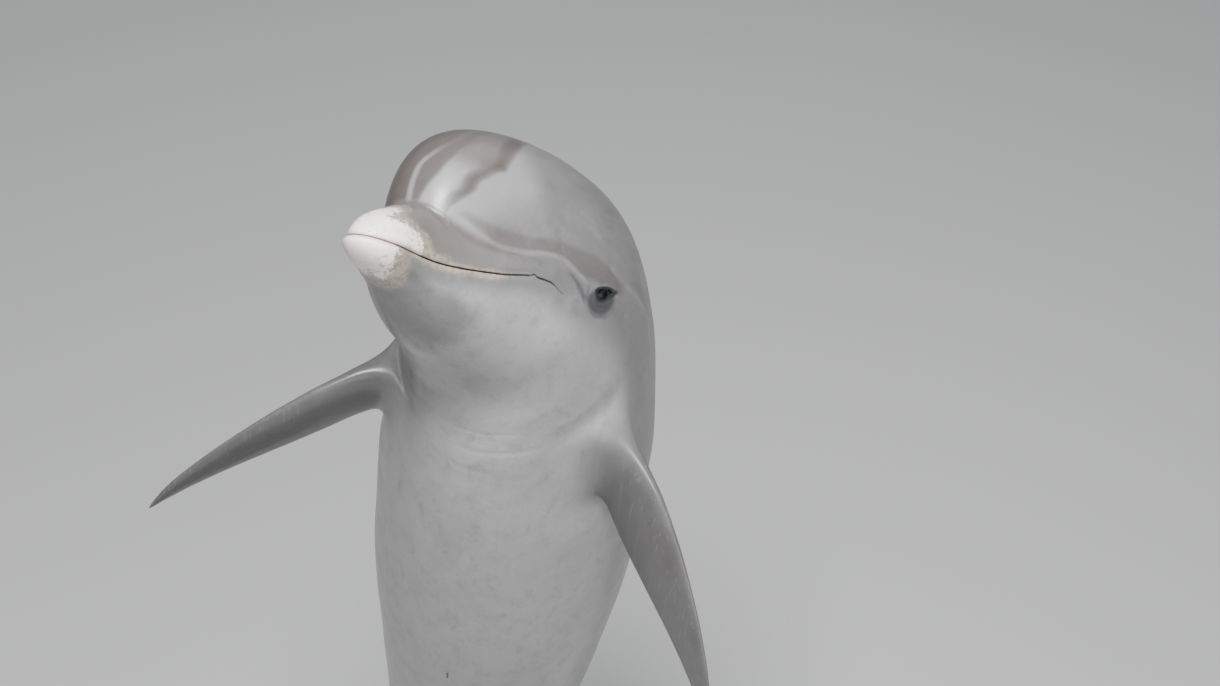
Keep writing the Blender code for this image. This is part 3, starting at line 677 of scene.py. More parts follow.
# Where the worn tip ends, over and under the mouth: degrees from the back, and s.
upper_tip_end_of = curve_through(((0, 2.65), (16, 2.2), (30, 1.45), (46, 2.0), (62, 2.75), (90, 2.95)))
lower_tip_end_of = curve_through(((88, 1.45), (104, 1.55), (120, 1.8), (145, 2.3), (180, 2.35)))

# Stripes of the melon: the angle up its front and over its top, and y of their middle or their half widths.
MELON_ARCH = (6.7, 5.9)  # length and height of the arch along which that angle is measured
stripe_middle_of = curve_through((
    (0, -0.30), (18, -0.50), (27, -0.48), (32, -0.29), (36, -0.05), (43, 0.28), (51, 0.55), (70, 0.45),
    (90, 0.2), (125, 0),
))
inner_edge_of = curve_through((
    (0, 0.42), (8, 0.56), (18, 0.94), (27, 1.30), (42, 1.02), (58, 0.80), (75, 0.9), (95, 0.9), (125, 0.5),
))
patch_edge_of = curve_through((
    (0, 1.75), (8, 1.92), (14, 2.15), (22, 2.62), (35, 2.50), (51, 2.02), (64, 1.70), (86, 1.35),
    (105, 0.8), (122, 0.2),
))
outer_edge_of = curve_through((
    (0, 1.9), (8, 2.15), (12, 2.47), (25, 3.02), (44, 2.60), (67, 2.46), (86, 2.25), (105, 1.8),
    (122, 1.1), (135, 0.7),
))


def inside_line(s, value, places, half):
    """Distance inside a line with these places (s, value) and this half width; negative outside it."""
    within = half - np.abs(value - curve_through(places)(s))
    return np.minimum(within, np.minimum(s - places[0][0], places[-1][0] - s) * 0.5)


def melon_angle(s, z):
    """Degrees from the melon's foot, up its front and over its top."""
    length, height = MELON_ARCH
    return np.degrees(np.arctan2((z - MELON_BASE) / height, (MELON_FULL - s) / length))


def markings(points, s, longitude):
    """Smooth fields, one value or vector per point, from which the skin's material draws the markings."""
    y, z = points[..., 1], points[..., 2]
    side = np.degrees(np.abs(wrapped(longitude)))
    gap = mouth_distance(s, z)
    cape_edge, belly_edge = cape_edge_of(s), belly_edge_of(s)
    back = (1 - smooth_step(side, cape_edge - 26, cape_edge + 16)) * smooth_step(s, 12, 26)
    belly = smooth_step(side, belly_edge - 16, belly_edge + 22)

    # The lines end where the sides of the head do.
    on_head = np.where((side > 38) & (side < 110), 0.0, -1.0)
    eye_band = inside_line(s, z, EYE_BAND, curve_through(EYE_BAND_HALF)(s)) + on_head
    pale_line = inside_line(s, z, PALE_LINE, 0.15) + on_head
    shady_line = inside_line(s, z, SHADY_LINE, 0.10 + 0.05 * np.clip(s - 11, 0, 3)) + on_head

    hull, melon = hull_and_melon(s, y, z)
    rise = melon_angle(s, z)
    middle = stripe_middle_of(rise)
    wide = np.abs(y - middle)
    on_melon = hull - melon - 3.0 * smooth_step(side, 74, 94)

    # The worn white tip of both jaws, and the stain at its border and along the lips.
    edge = np.where(gap > 0, upper_tip_end_of(side), lower_tip_end_of(side))
    on_lip = np.where((side > 55) & (side < 125), 1.0, 0.0)
    stain = hump(s, edge + 0.40, 0.75)
    stain = np.maximum(stain, on_lip * hump(gap, 5, 11) * (1 - smooth_step(s, 4.0, 6.2)))
    stain = np.maximum(stain, on_lip * hump(gap, -1.5, 9.0) * (1 - smooth_step(s, 7.0, 11.0)) * 0.9)
    beak = smooth_step(s, 1.2, 2.6) * (1 - 0.45 * smooth_step(s, 4.4, 7.0) - 0.55 * smooth_step(s, 8, 13))
    beak = beak * smooth_step(gap, 0, 9)
    beak = beak * np.where(side < 92, 1.0, 0.0) * (1 - smooth_step(hull - melon, -0.05, 0.15))
    # Under the jaw: dark skin, partly real and partly painted shade, joined to the line behind the mouth.
    chin_mark_and_shade = smooth_step(s, 2.0, 3.0) * (1 - smooth_step(s, 5.5, 11)) * smooth_step(side, 100, 136)
    shady_line_and_chin_shade = np.maximum(shady_line - 0.3 * (1 - smooth_step(s, 11, 13.5)), 0.42 * chin_mark_and_shade - 0.22)

    # Distances in millimetres to the thin dark lines: between the lips, the blowhole and the belly's slits.
    near_mouth = ((side > 50) & (side < 130)) | (s < 3)
    ending = 1 + 1.6 * smooth_step(s, MOUTH_CORNER - 1.2, MOUTH_CORNER)
    lips = np.where(near_mouth, np.hypot(gap * ending, np.maximum(s - MOUTH_CORNER, 0) / MM), FAR_OFF)
    away, _ = blowhole_distance(s, y)
    slit = np.where(side < 60, away, FAR_OFF)
    for place, half_length, _, _ in BELLY_MARKS:
        off = belly_mark_distance(s, y, place, half_length)
        slit = np.minimum(slit, np.where(side > 150, off, FAR_OFF))
    return {
        "shade": np.stack([back, np.clip(belly, 0, 1), np.clip(beak, 0, 1)], -1),
        "stripe": np.stack([wide, inner_edge_of(rise) - wide, patch_edge_of(rise) - wide], -1),
        "melon": np.stack([on_melon, rise / 100, outer_edge_of(rise) - wide], -1),
        "lines": np.stack([eye_band, pale_line, np.sign(y - middle)], -1),
        "worn": np.stack([edge - s, np.clip(stain, 0, 1), s], -1),
        "dark": np.stack([np.minimum(lips, FAR_OFF), np.minimum(slit, FAR_OFF), shady_line_and_chin_shade], -1),
    }


def eye_shade(points):
    """How dark the skin is round each eye.

    The patch goes up to 1. Painted shade in the fold under the eye and behind its rear corner deepens it,
    and painted highlights on its wrinkles' ridges make it paler. The rims of the lids go on to 2: dark skin
    that is partly painted shade round the opening.
    """
    ahead, up, _ = eye_coordinates(points * mirror_of(points))
    out, below, behind, above = round_the_eye(ahead, up)
    blot = np.hypot((ahead - 8.0) / 1.45, (up + 7.0) / np.where(up > -7.0, 0.80, 1.1))
    shade = 0.96 * (1 - smooth_step(blot, 15.0, 26.0))
    rim_half = 21.0
    over, under = lid_arches(np.clip(ahead / rim_half, -1, 1))
    within = np.minimum(CORNER_LINE + 1.6 + over - up, up - CORNER_LINE + 2.4 + under)
    # The lids' rims: dark skin, deepened by painted shade round the opening.
    rim = smooth_step(np.minimum(within, rim_half - np.abs(ahead)), -3.0, 1.0)
    # Painted shade in the fold under the eye.
    crease_shade = 0.60 * hump(out, 28.0, 3.4) * below * (1 - 0.4 * smooth_step(-ahead, 2, 16))
    # Painted shade in the fold behind the rear corner.
    tail = hump(above, 0, 2.8) * smooth_step(behind, -4, 0) * (1 - smooth_step(behind, 7, 15))
    # Painted highlights on the wrinkles' ridges, which lighten the patch.
    wrinkle_highlight = (hump(out, 18.0, 1.6) + 0.6 * hump(out, 22.2, 1.5)) * below
    patch = np.clip(np.maximum.reduce([shade, rim, crease_shade, tail]) - 0.20 * wrinkle_highlight, 0, 1)
    # The second level, for the lids' rims, also takes the painted shade behind the rear corner.
    return patch + np.maximum(rim, 0.9 * tail)


# ---------------------------------------------------------------- the skin's mesh


class Skin:
    """The straight body's mesh, from its grid of rings, with windows for the fins and the eyes.

    It gathers points, their carriers along the spine, their places for the markings, and faces with their
    texture corners.
    """

    GRID_SHARE = 0.80  # of the texture's height, for the body's grid
    STRIPS_TOP = 0.98  # the fins' and lids' strips lie between the grid and this height
    STRIPS = 7
    STRIP_START, STRIP_GAP = 0.01, 0.004
    LID_WINDOW = (1.25, 0.031)  # half length in s and half width in metres
    # Rings behind the rim of a lid: shifts towards the middle of the eye and heights over the ball, in
    # millimetres, and the least height over the ball's middle.
    LID_RINGS = ((0.45, 1.45), (0.75, 0.95), (0.80, 0.40), (0.55, -0.25), (-0.3, -1.2), (-1.2, -3.0))
    LEAST_HEIGHT = 8.5
    HEAD_RADIUS = 6.3  # about the head's at the eyes

    def __init__(self, stations, longitudes):
        self.stations, self.longitudes = stations, longitudes
        rings, around = len(stations), len(longitudes)
        s, turn = np.meshgrid(stations, longitudes, indexing="ij")
        grid = skin_at(s, turn)
        self.points = [grid.reshape(-1, 3)]
        self.carriers = [grid[..., 0].reshape(-1)]
        self.places = [np.stack([s, turn], -1).reshape(-1, 2)]
        self.kinds = [np.zeros(rings * around)]
        self.soft = [np.zeros(rings * around)]
        self.count = rings * around
        self.open = np.ones((rings - 1, around), bool)
        self.faces = []
        self.corners = []
        self.patches = 0
        sides = grid[0, np.abs(np.sin(longitudes)) > 0.99999]
        nose = self.add([(sides[:, 0].mean() - 0.01, 0, mouth_of(0.0))], [0.0], [(0.0, MIDDLE)], 0.0)[0]
        tail = self.add([(100, 0, mouth_of(100.0))], [100.0], [(100.0, MIDDLE)], 0.0)[0]
        for j in range(around):
            k = j + 1
            self.face((nose, self.at(0, k), self.at(0, j)), [(j + 0.5, -1), (k, 0), (j, 0)])
            self.face((tail, self.at(rings - 1, j), self.at(rings - 1, k)),
                      [(j + 0.5, rings), (j, rings - 1), (k, rings - 1)])

    def at(self, ring, longitude):
        """The number of a point of the body's grid."""
        return ring * len(self.longitudes) + longitude % len(self.longitudes)

    def add(self, points, carriers, places, kind, soft=0.0):
        """Adds points and returns their numbers.

        The kind is 0 on the body, 1 on a fin and 2 behind a lid; soft is the share for evening them out.
        """
        start = self.count
        self.points.append(np.array(points, float))
        self.carriers.append(np.array(carriers, float))
        self.places.append(np.array(places, float))
        self.kinds.append(np.full(len(points), float(kind)))
        self.soft.append(np.full(len(points), float(soft)))
        self.count += len(points)
        return np.arange(start, self.count)

    def face(self, numbers, grid_corners):
        """A face of the body's grid, with its corners given as (longitude number, ring number)."""
        rings, around = len(self.stations), len(self.longitudes)
        self.faces.append(numbers)
        share = self.GRID_SHARE
        self.corners.append([(u / around, share * (v + 1) / (rings + 1)) for u, v in grid_corners])

    def window(self, s, longitude, length, half_width):
        """The grid lines round a place of the skin: first and last ring, lowest and highest longitude."""
        first = int(np.abs(self.stations - (s - length)).argmin())
        last = int(np.abs(self.stations - (s + length)).argmin())
        root = surface(s, longitude)
        radius = np.linalg.norm((root - [s, 0, mouth_of(s)])[1:]) * UNIT
        turn = wrapped(self.longitudes - longitude % (2 * math.pi))
        middle = int(np.abs(turn).argmin())
        lines = np.arange(1, 60)
        ahead = np.abs(turn[(middle + lines) % len(turn)]) * radius - half_width
        behind = np.abs(turn[(middle - lines) % len(turn)]) * radius - half_width
        low = middle - int(np.abs(behind).argmin()) - 1
        high = middle + int(np.abs(ahead).argmin()) + 1
        return first, last, low, high

    def cut(self, window):
        """Opens the window, and returns its rim as (ring, longitude) pairs."""
        first, last, low, high = window
        for i in range(first, last):
            for j in range(low, high):
                self.open[i, j % len(self.longitudes)] = False
        front = [(first, j) for j in range(low, high)]
        upper = [(i, high) for i in range(first, last)]
        back = [(last, j) for j in range(high, low, -1)]
        lower = [(i, low) for i in range(last, first, -1)]
        return front + upper + back + lower

    def grow(self, fin, sections, fillet_rings):
        """Bridges a window through a fillet to a fin's sections."""
        window = self.window(fin.root_s, fin.root_longitude, *fin.window)
        first, last, low, high = window
        loop = self.cut(window)
        # The window's front and rear edges become arcs of the fin's sections, this wide to each side.
        corner = math.radians(38)
        inset = (1 - math.cos(corner)) / 2
        angles = []
        for i, j in loop:
            share = (j - low) / (high - low) * 2 - 1
            along = (self.stations[i] - self.stations[first]) / (self.stations[last] - self.stations[first])
            side = math.acos(1 - 2 * (inset + (1 - 2 * inset) * along))
            if i == first:
                angles.append(share * corner)
            elif i == last:
                angles.append(math.pi - share * corner)
            else:
                angles.append(side if j == high else -side)
        angles = np.array(angles)
        rim = np.array([self.at(i, j) for i, j in loop])
        edge = self.points[0][rim]
        lift = fin.fillet / fin.span
        root_sections = fin.section(0.0, angles)
        foot_s = np.clip(root_sections[:, 0], 0.5, 99.7)
        foot = surface(foot_s, np.arctan2(root_sections[:, 1], root_sections[:, 2] - mouth_of(foot_s)))
        wing = fin.section(lift, angles)
        self.soften_round(edge, fin)
        rings = []
        for k in range(1, fillet_rings + 1):
            u = k / (fillet_rings + 1)
            ring = edge * (1 - u) ** 2 + foot * 2 * u * (1 - u) + wing * u * u
            rings.append((ring, ring[:, 0] * (1 - u) + fin.root_s * u, u, fin.softness))
        spans = lift + (1 - lift) * np.sin(np.linspace(0, math.pi / 2, sections + 1))
        for t in spans[:-1]:
            soft = fin.softness * (1 - float(smooth_step(t, lift, lift + 0.16)))
            rings.append((fin.section(t, angles), np.full(len(angles), fin.root_s), 1.0, soft))
        middle = fin.section(1.0, np.array([0.0]))
        self.bridge(rim, rings, middle, fin.root_s)

    def soften_round(self, edge, fin):
        """Marks the body's points near a window's rim for evening out."""
        near = np.nonzero(np.abs(self.points[0][:, 0] - fin.root_s) < fin.window[0] + 3)[0]
        for part in np.array_split(near, 40):
            away = np.linalg.norm(self.points[0][part, None] - edge[None], axis=-1).min(axis=1)
            soft = fin.softness * (1 - smooth_step(away, 0.1, 1.8))
            self.soft[0][part] = np.maximum(self.soft[0][part], soft)

    def lid(self, side, opening_rings):
        """Bridges a window to the almond opening of an eye, and closes the skin behind the ball."""
        loop = self.cut(self.window(EYE_PLACE[0], side * EYE_LONGITUDE, *self.LID_WINDOW))
        rim = np.array([self.at(i, j) for i, j in loop])
        mirror = np.array([1.0, side, 1.0])
        edge_places = self.places[0][rim]
        turned = wrapped(edge_places[:, 1] * side)
        edge_places = np.stack([edge_places[:, 0], turned], -1)
        ahead, up, _ = eye_coordinates(surface(edge_places[:, 0], turned))
        angle = np.arctan2((up - CORNER_LINE) / 9, ahead / EYE_OPENING[0])
        target_ahead, target_up = almond(angle)
        places = self.places_of(target_ahead, target_up)
        rings = []
        for k in range(1, opening_rings + 1):
            u = 1 - (1 - k / opening_rings) ** 1.7
            place = edge_places * (1 - u) + places * u
            rings.append((skin_at(place[:, 0], place[:, 1]) * mirror, place[:, 0], 0.0, 0.0))
        local = rings[-1][0] * mirror - EYE_MIDDLE
        height = local @ EYE_OUT
        flat = local - height[:, None] * EYE_OUT
        rho = np.linalg.norm(flat, axis=1)
        away = flat / rho[:, None]
        for inward, over in self.LID_RINGS:
            reach = rho - inward * MM
            ball = np.sqrt(np.maximum((EYE_RADIUS / UNIT) ** 2 - reach**2, (self.LEAST_HEIGHT * MM) ** 2))
            ring = EYE_MIDDLE + away * reach[:, None] + (ball + over * MM)[:, None] * EYE_OUT
            rings.append((ring * mirror, np.full(len(ring), EYE_PLACE[0]), 2.0, 0.0))
        back = (EYE_MIDDLE - EYE_OUT * 0.2) * mirror
        self.bridge(rim, rings, [back], EYE_PLACE[0], EYE_PLACE[0])

    def places_of(self, ahead, up):
        """Place (s, longitude) of points given forward of and above the left eye, in millimetres."""
        place = np.tile([EYE_PLACE[0], EYE_LONGITUDE], (len(ahead), 1))
        for _ in range(6):
            now_ahead, now_up, _ = eye_coordinates(surface(place[:, 0], place[:, 1]))
            place[:, 0] -= (ahead - now_ahead) * MM * 0.9
            place[:, 1] -= (up - now_up) * MM * 0.9 / self.HEAD_RADIUS
        return place

    def bridge(self, rim, rings, middle, carrier, lid_s=None):
        """Joins the rim of a window to rings and a closing point, in a strip of the texture of its own."""
        count, steps = len(rim), len(rings) + 1
        strips = self.STRIPS_TOP - self.GRID_SHARE
        base = self.GRID_SHARE + self.STRIP_START + self.patches * strips / self.STRIPS
        tall = strips / self.STRIPS - self.STRIP_GAP
        levels = [*(base + tall * row / steps for row in range(steps)), base + tall]
        self.patches += 1
        previous = np.array(rim)
        for row, (points, carriers, kind, soft) in enumerate(rings):
            s = np.clip(points[:, 0], 0.01, 99.99) if lid_s is None else carriers
            longitude = np.arctan2(points[:, 1], points[:, 2] - mouth_of(s))
            own = points[:, 0] if kind == 0 else carriers
            new = self.add(points, own, np.stack([s, longitude], -1), kind, soft)
            low, high = levels[row : row + 2]
            for k in range(count):
                n = (k + 1) % count
                left, right = k / count, (k + 1) / count
                self.faces.append((previous[k], previous[n], new[n], new[k]))
                self.corners.append([(left, low), (right, low), (right, high), (left, high)])
            previous = new
        tip = self.add(middle, [carrier], [(carrier, MIDDLE)], rings[-1][2])[0]
        low, high = levels[-2:]
        for k in range(count):
            self.faces.append((previous[k], previous[(k + 1) % count], tip))
            self.corners.append([(k / count, low), ((k + 1) / count, low), ((k + 0.5) / count, high)])

    def finish(self):
        """All points, carriers, places and kinds, and the faces with their texture corners."""
        for i, j in zip(*np.nonzero(self.open)):
            k = j + 1
            self.face((self.at(i, j), self.at(i, k), self.at(i + 1, k), self.at(i + 1, j)),
                      [(j, i), (k, i), (k, i + 1), (j, i + 1)])
        gathered = (self.points, self.carriers, self.places, self.kinds, self.soft)
        points, carriers, places, kinds, soft = (np.concatenate(part) for part in gathered)
        used = np.unique(np.concatenate([np.array(face) for face in self.faces]))
        numbers = np.zeros(len(points), int)
        numbers[used] = np.arange(len(used))
        faces = [tuple(numbers[list(face)]) for face in self.faces]
        evened = evened_out(points[used], faces, soft[used])
        return evened, carriers[used], places[used], kinds[used], faces, self.corners


def evened_out(points, faces, soft, rounds=40):
    """Moves the points towards the mean of their neighbours, by their soft shares."""
    pairs = np.array([pair for face in faces for pair in zip(face, face[1:] + face[:1])])
    pairs = np.unique(np.sort(pairs, axis=1), axis=0)
    pairs = pairs[soft[pairs].max(axis=1) > 0]
    a, b = pairs.T
    size = len(points)
    count = np.maximum(np.bincount(a, minlength=size) + np.bincount(b, minlength=size), 1)
    moved = points.copy()
    for _ in range(rounds):
        sums = [np.bincount(a, moved[b, k], size) + np.bincount(b, moved[a, k], size) for k in range(3)]
        moved += (0.5 * soft)[:, None] * (np.stack(sums, -1) / count[:, None] - moved)
    return moved


def almond(angle):
    """The rim of the eye's opening at an angle from its front corner, in millimetres."""
    half_length = EYE_OPENING[0]
    ahead = np.cos(angle)
    over, under = lid_arches(ahead)
    return half_length * ahead, CORNER_LINE + np.where(np.sin(angle) < 0, -under, over)


def new_mesh_object(name, points, faces, corners=None):
    """A mesh object in the scene, with texture corners if they are given."""
    mesh = bpy.data.meshes.new(name)
    mesh.from_pydata(np.asarray(points, float).tolist(), [], [tuple(map(int, face)) for face in faces])
    if corners is not None:
        layer = mesh.uv_layers.new(name="OFBake")
        flat = np.array([pair for face in corners for pair in face], np.float32)
        layer.data.foreach_set("uv", flat.ravel())
    obj = bpy.data.objects.new(name, mesh)
    bpy.context.scene.collection.objects.link(obj)
    return obj


def write_attribute(mesh, name, values):
    """Gives each point of a mesh a number or a vector, for its material to read."""
    values = np.asarray(values, np.float32)
    if values.ndim == 1:
        mesh.attributes.new(name, "FLOAT", "POINT").data.foreach_set("value", values)
    else:
        mesh.attributes.new(name, "FLOAT_VECTOR", "POINT").data.foreach_set("vector", values.ravel())


def outward(mesh):
    """Turns the faces of a closed mesh outwards, keeping its texture corners."""
    made = bmesh.new()
    made.from_mesh(mesh)
    bmesh.ops.recalc_face_normals(made, faces=made.faces)
    made.to_mesh(mesh)
    made.free()


# ---------------------------------------------------------------- materials


class Socket:
    """A shader value, so that maths can be written as Python expressions."""

    def __init__(self, shader, socket):
        self.shader, self.socket = shader, socket

    def math(self, operation, *others):
        inputs = {0: self, **dict(enumerate(others, 1))}
        return self.shader.node("ShaderNodeMath", {"operation": operation}, inputs)

    def __add__(self, other):
        return self.math("ADD", other)

    def __mul__(self, other):
        return self.math("MULTIPLY", other)

    def __sub__(self, other):
        return self.math("SUBTRACT", other)

    def __rsub__(self, other):
        return self.shader.node("ShaderNodeMath", {"operation": "SUBTRACT"}, {0: other, 1: self})

    __radd__ = __add__
    __rmul__ = __mul__

    def most(self, other):
        """The larger of the two."""
        return self.math("MAXIMUM", other)

    def size(self):
        """The value without its sign."""
        return self.math("ABSOLUTE")

    def step(self, start, end):
        """0 below start and 1 above end, smooth between."""
        return self.shader.node("ShaderNodeMapRange", {"interpolation_type": "SMOOTHSTEP"},
                                {"Value": self, "From Min": start, "From Max": end})


class Shader:
    """One material's node tree: a Principled shader at its end, and a colour laid up in layers."""

    def __init__(self, name, **constants):
        self.material = bpy.data.materials.new(name)
        self.material.use_nodes = True
        self.tree = self.material.node_tree
        self.end = self.tree.nodes["Principled BSDF"]
        for socket, value in constants.items():
            self.end.inputs[socket.replace("_", " ")].default_value = value
        self.coordinates = self.node("ShaderNodeTexCoord", output="Object")
        self.colour = None

    def node(self, kind, settings=None, inputs=None, output=0):
        """Adds a node, sets it up, links or fills its sockets, and returns one of its outputs."""
        made = self.tree.nodes.new(kind)
        for setting, value in (settings or {}).items():
            setattr(made, setting, value)
        for key, value in (inputs or {}).items():
            if isinstance(value, Socket):
                self.tree.links.new(value.socket, made.inputs[key])
            elif value is not None:
                made.inputs[key].default_value = value
        return Socket(self, made.outputs[output])

    def attribute(self, name, output="Fac"):
        """A number of the mesh's points, or with the output Vector a vector."""
        return self.node("ShaderNodeAttribute", {"attribute_name": name}, output=output)

    def parts(self, name):
        """The three values of a vector attribute."""
        vector = self.attribute(name, output="Vector")
        return [self.node("ShaderNodeSeparateXYZ", {}, {0: vector}, output=axis) for axis in "XYZ"]

    def noise(self, scale, detail=3.0, roughness=0.5, vector=None, stretch=None, distortion=0.0):
        """Soft noise from 0 to 1, over the piece's own coordinates unless a vector is given."""
        vector = self.coordinates if vector is None else vector
        if stretch is not None:
            vector = self.node("ShaderNodeMapping", {}, {"Vector": vector, "Scale": stretch})
        inputs = {"Vector": vector, "Scale": scale, "Detail": detail}
        inputs.update({"Roughness": roughness, "Distortion": distortion})
        return self.node("ShaderNodeTexNoise", {}, inputs)

    def cells(self, scale, vector):
        """Distance from the middle of the nearest of many scattered cells."""
        inputs = {"Vector": vector, "Scale": scale}
        return self.node("ShaderNodeTexVoronoi", {}, inputs, output="Distance")

    def mix(self, share, first, second):
        """Mixes two colours, each a socket or its three values; the numbers are the colours' sockets."""
        first, second = (value if isinstance(value, Socket) else (*value, 1) for value in (first, second))
        inputs = {0: share, 6: first, 7: second}
        return self.node("ShaderNodeMix", {"data_type": "RGBA"}, inputs, output=2)

    def lay(self, share, colour):
        """Lays a share of a colour over the layers before it."""
        self.colour = self.mix(share, self.colour, colour)

    def feed(self, **links):
        """Links values to the sockets of the Principled shader."""
        for socket, value in links.items():
            self.tree.links.new(value.socket, self.end.inputs[socket.replace("_", " ")])

    def bump(self, height, distance, strength=1.0, after=None):
        """A bump of this distance in metres, on top of an earlier one."""
        inputs = {"Height": height, "Distance": distance, "Strength": strength, "Normal": after}
        return self.node("ShaderNodeBump", {}, inputs)


class SkinFields:
    """What the markings are drawn from: the fields of the mesh, and noises of several sizes."""

    def __init__(self, shader):
        self.body = shader.attribute("body", output="Vector")
        self.back, self.belly, self.beak = shader.parts("shade")
        self.wide, self.in_inner, self.in_patch = shader.parts("stripe")
        self.on_melon, self.rise, self.in_outer = shader.parts("melon")
        self.in_band, self.in_line, self.side = shader.parts("lines")
        self.before_edge, self.stain, self.place = shader.parts("worn")
        # Between the lips, the slits, and the line behind the mouth with painted shade under the jaw.
        self.lips, self.slit, self.in_line_and_chin_shade = shader.parts("dark")
        # Fins, behind the lids, and the eye patch with painted shade in its folds and at its rims.
        self.fin, self.inside_lid, self.eye_patch_and_shade = shader.parts("kind")
        self.cloud = shader.noise(5.5, 4.0, 0.55, self.body)
        self.mottle = shader.noise(26.0, 4.0, 0.6, self.body)
        self.grain = shader.noise(150.0, 3.0, 0.6, self.body)
        self.flecks = shader.noise(420.0, 2.0, 0.6, self.body)
        self.fine = shader.noise(520.0, 3.0, 0.6)


def lay_ground(shader, skin, colours):
    """Countershading from the dark back to the pale belly, with clouds and blots."""
    tone = skin.back + (skin.cloud - 0.5) * 0.35 * skin.back.step(0.05, 0.5)
    shader.colour = colours.side_grey
    shader.lay(tone.step(0.0, 1.0), colours.back_grey)
    pale = (skin.belly + (skin.cloud - 0.5) * 0.30) * (1 - skin.fin)
    shader.lay(pale.step(0.05, 0.95) * 0.85, colours.belly)
    shader.lay(skin.fin * 0.9, colours.fin_grey)
    shader.lay((skin.mottle - 0.5).step(-0.10, 0.28) * 0.26, colours.side_grey)
    shader.lay((skin.cloud - 0.5).step(-0.02, 0.22) * 0.18, colours.band)
    shader.lay((skin.grain - 0.5).step(0.0, 0.30) * 0.20, colours.back_grey)
    smudges = shader.noise(1.0, 3.0, 0.6, skin.body, stretch=(9.0, 30.0, 16.0), distortion=0.6)
    smudged = smudges.step(0.52, 0.74) * 0.24 * (1 - skin.fin) * (1 - skin.back * 0.75)
    shader.lay(smudged, colours.pale_patch)
    blots = shader.noise(1.0, 4.0, 0.65, skin.body, stretch=(17.0, 40.0, 30.0), distortion=0.4)
    shader.lay(blots.step(0.50, 0.76) * 0.26, colours.band)


def lay_melon(shader, skin, colours):
    """The melon's stripes, whose edges wander a little.

    Its far side, turned from the light, gets painted shade: its pale marks are dimmed and its edge
    darkened, and its bands are partly pigment and partly painted shade. Returns the wandering and the near
    side's share, for the other markings of the head.
    """
    wander = (skin.mottle - 0.5) * 0.22 + (skin.grain - 0.5) * 0.10
    fading = 1 - skin.place.step(14.5, 18.0)
    on_melon_share = (skin.on_melon + wander * 0.3).step(-0.10, 0.34)
    high = skin.rise.step(0.26, 0.46)
    # On the far side, turned from the light, pale marks keep a tenth: painted shade.
    near_side_lit_share = skin.side.step(-0.2, 0.2) * 0.9 + 0.1
    middle = (1 - (skin.wide + wander * 0.3).step(0.02, 0.32)) * (1 - skin.rise.step(0.30, 0.50))
    inner = skin.wide.step(0.06, 0.28) * (skin.in_inner + wander).step(-0.26, 0.18)
    patch = (skin.in_inner * -1.0 + wander).step(-0.05, 0.22)
    patch = patch * (skin.in_patch + wander).step(0.0, 0.30) * (1 - high)
    outer = (skin.in_patch * -1.0 + wander * 0.4).step(-0.40, 0.30)
    outer = outer * (skin.in_outer + wander * 0.35).step(-0.22, 0.22)
    outer = outer * (skin.rise.step(0.02, 0.22) * 0.8 + 0.2) * (1 - skin.rise.step(0.72, 1.05) * 0.45)
    beside = (skin.in_outer * -1.0).step(0.0, 0.12)
    beside = beside * (1 - (skin.in_outer * -1.0 + wander * 2.0).step(0.6, 2.3))
    beside = beside * (1 - skin.rise.step(0.55, 0.90))
    crown = high * (skin.in_outer + wander * 1.5).step(-0.20, 0.22)
    pale_marks_and_far_shade = middle * 0.46 + (patch * 0.95 + beside * 0.90) * near_side_lit_share
    bands_and_far_shade = (inner * 0.74).most(outer * 0.92).most(crown * 0.62) * fading
    # The far side's bands: partly band pigment, partly painted shade of the side turned from the light.
    far_side_band_and_shade = (1 - skin.side.step(-0.2, 0.2)) * (1 - middle) * skin.wide.step(0.05, 0.2)
    far_side_band_and_shade = far_side_band_and_shade * 0.85 * (1 - skin.wide.step(2.2, 3.6) * 0.7)
    far_side_band_and_shade = far_side_band_and_shade * fading * (1 - skin.rise.step(0.7, 1.1))
    bands_and_far_shade = bands_and_far_shade.most(far_side_band_and_shade)
    shader.lay(pale_marks_and_far_shade * on_melon_share * 0.50, colours.pale_patch)
    shader.lay(bands_and_far_shade * on_melon_share * 0.88, colours.band)
    # Painted shade along the melon's far edge, in the slits' colour.
    far_edge_shade = (1 - skin.side.step(-0.2, 0.2)) * skin.wide.step(0.6, 2.8) * fading
    shader.lay(far_edge_shade * on_melon_share * 0.55, colours.inside)
    # Painted shade in the fold at the melon's foot, over its front part.
    crease_shade = (1 - skin.on_melon.size().step(0.0, 0.20)) * skin.place.step(3.8, 4.6)
    crease_shade = crease_shade * (1 - skin.place.step(8.0, 12.5))
    shader.lay(crease_shade * 0.42, colours.band)
    return wander, near_side_lit_share


def lay_head(shader, skin, colours, wander, near_side_lit_share):
    """Brownish upper beak, eye band, pale line, dark line behind the mouth, painted shade under the jaw."""
    browned = skin.beak + (skin.mottle - 0.5) * 0.5 * skin.beak
    shader.lay(browned * 0.64, colours.beak)
    in_dusk = (skin.in_band + wander * 0.8).step(-0.26, 0.20)
    shader.lay(in_dusk * 0.43, colours.band)
    pale_line_far_shaded = (skin.in_line + wander * 0.5).step(-0.08, 0.15)
    # On the far side the pale line is dimmed: painted shade.
    pale_line_far_shaded = pale_line_far_shaded * (skin.place.step(5.5, 9.5) * 0.6 + near_side_lit_share * 0.4)
    shader.lay(pale_line_far_shaded * 0.36, colours.pale_patch)
    # The dark line behind the mouth, and under the jaw dark skin that is partly painted shade.
    line_and_chin_shade_share = (skin.in_line_and_chin_shade + wander * 0.5).step(-0.14, 0.16)
    shader.lay(line_and_chin_shade_share * 0.60, colours.eye_patch_and_shade)


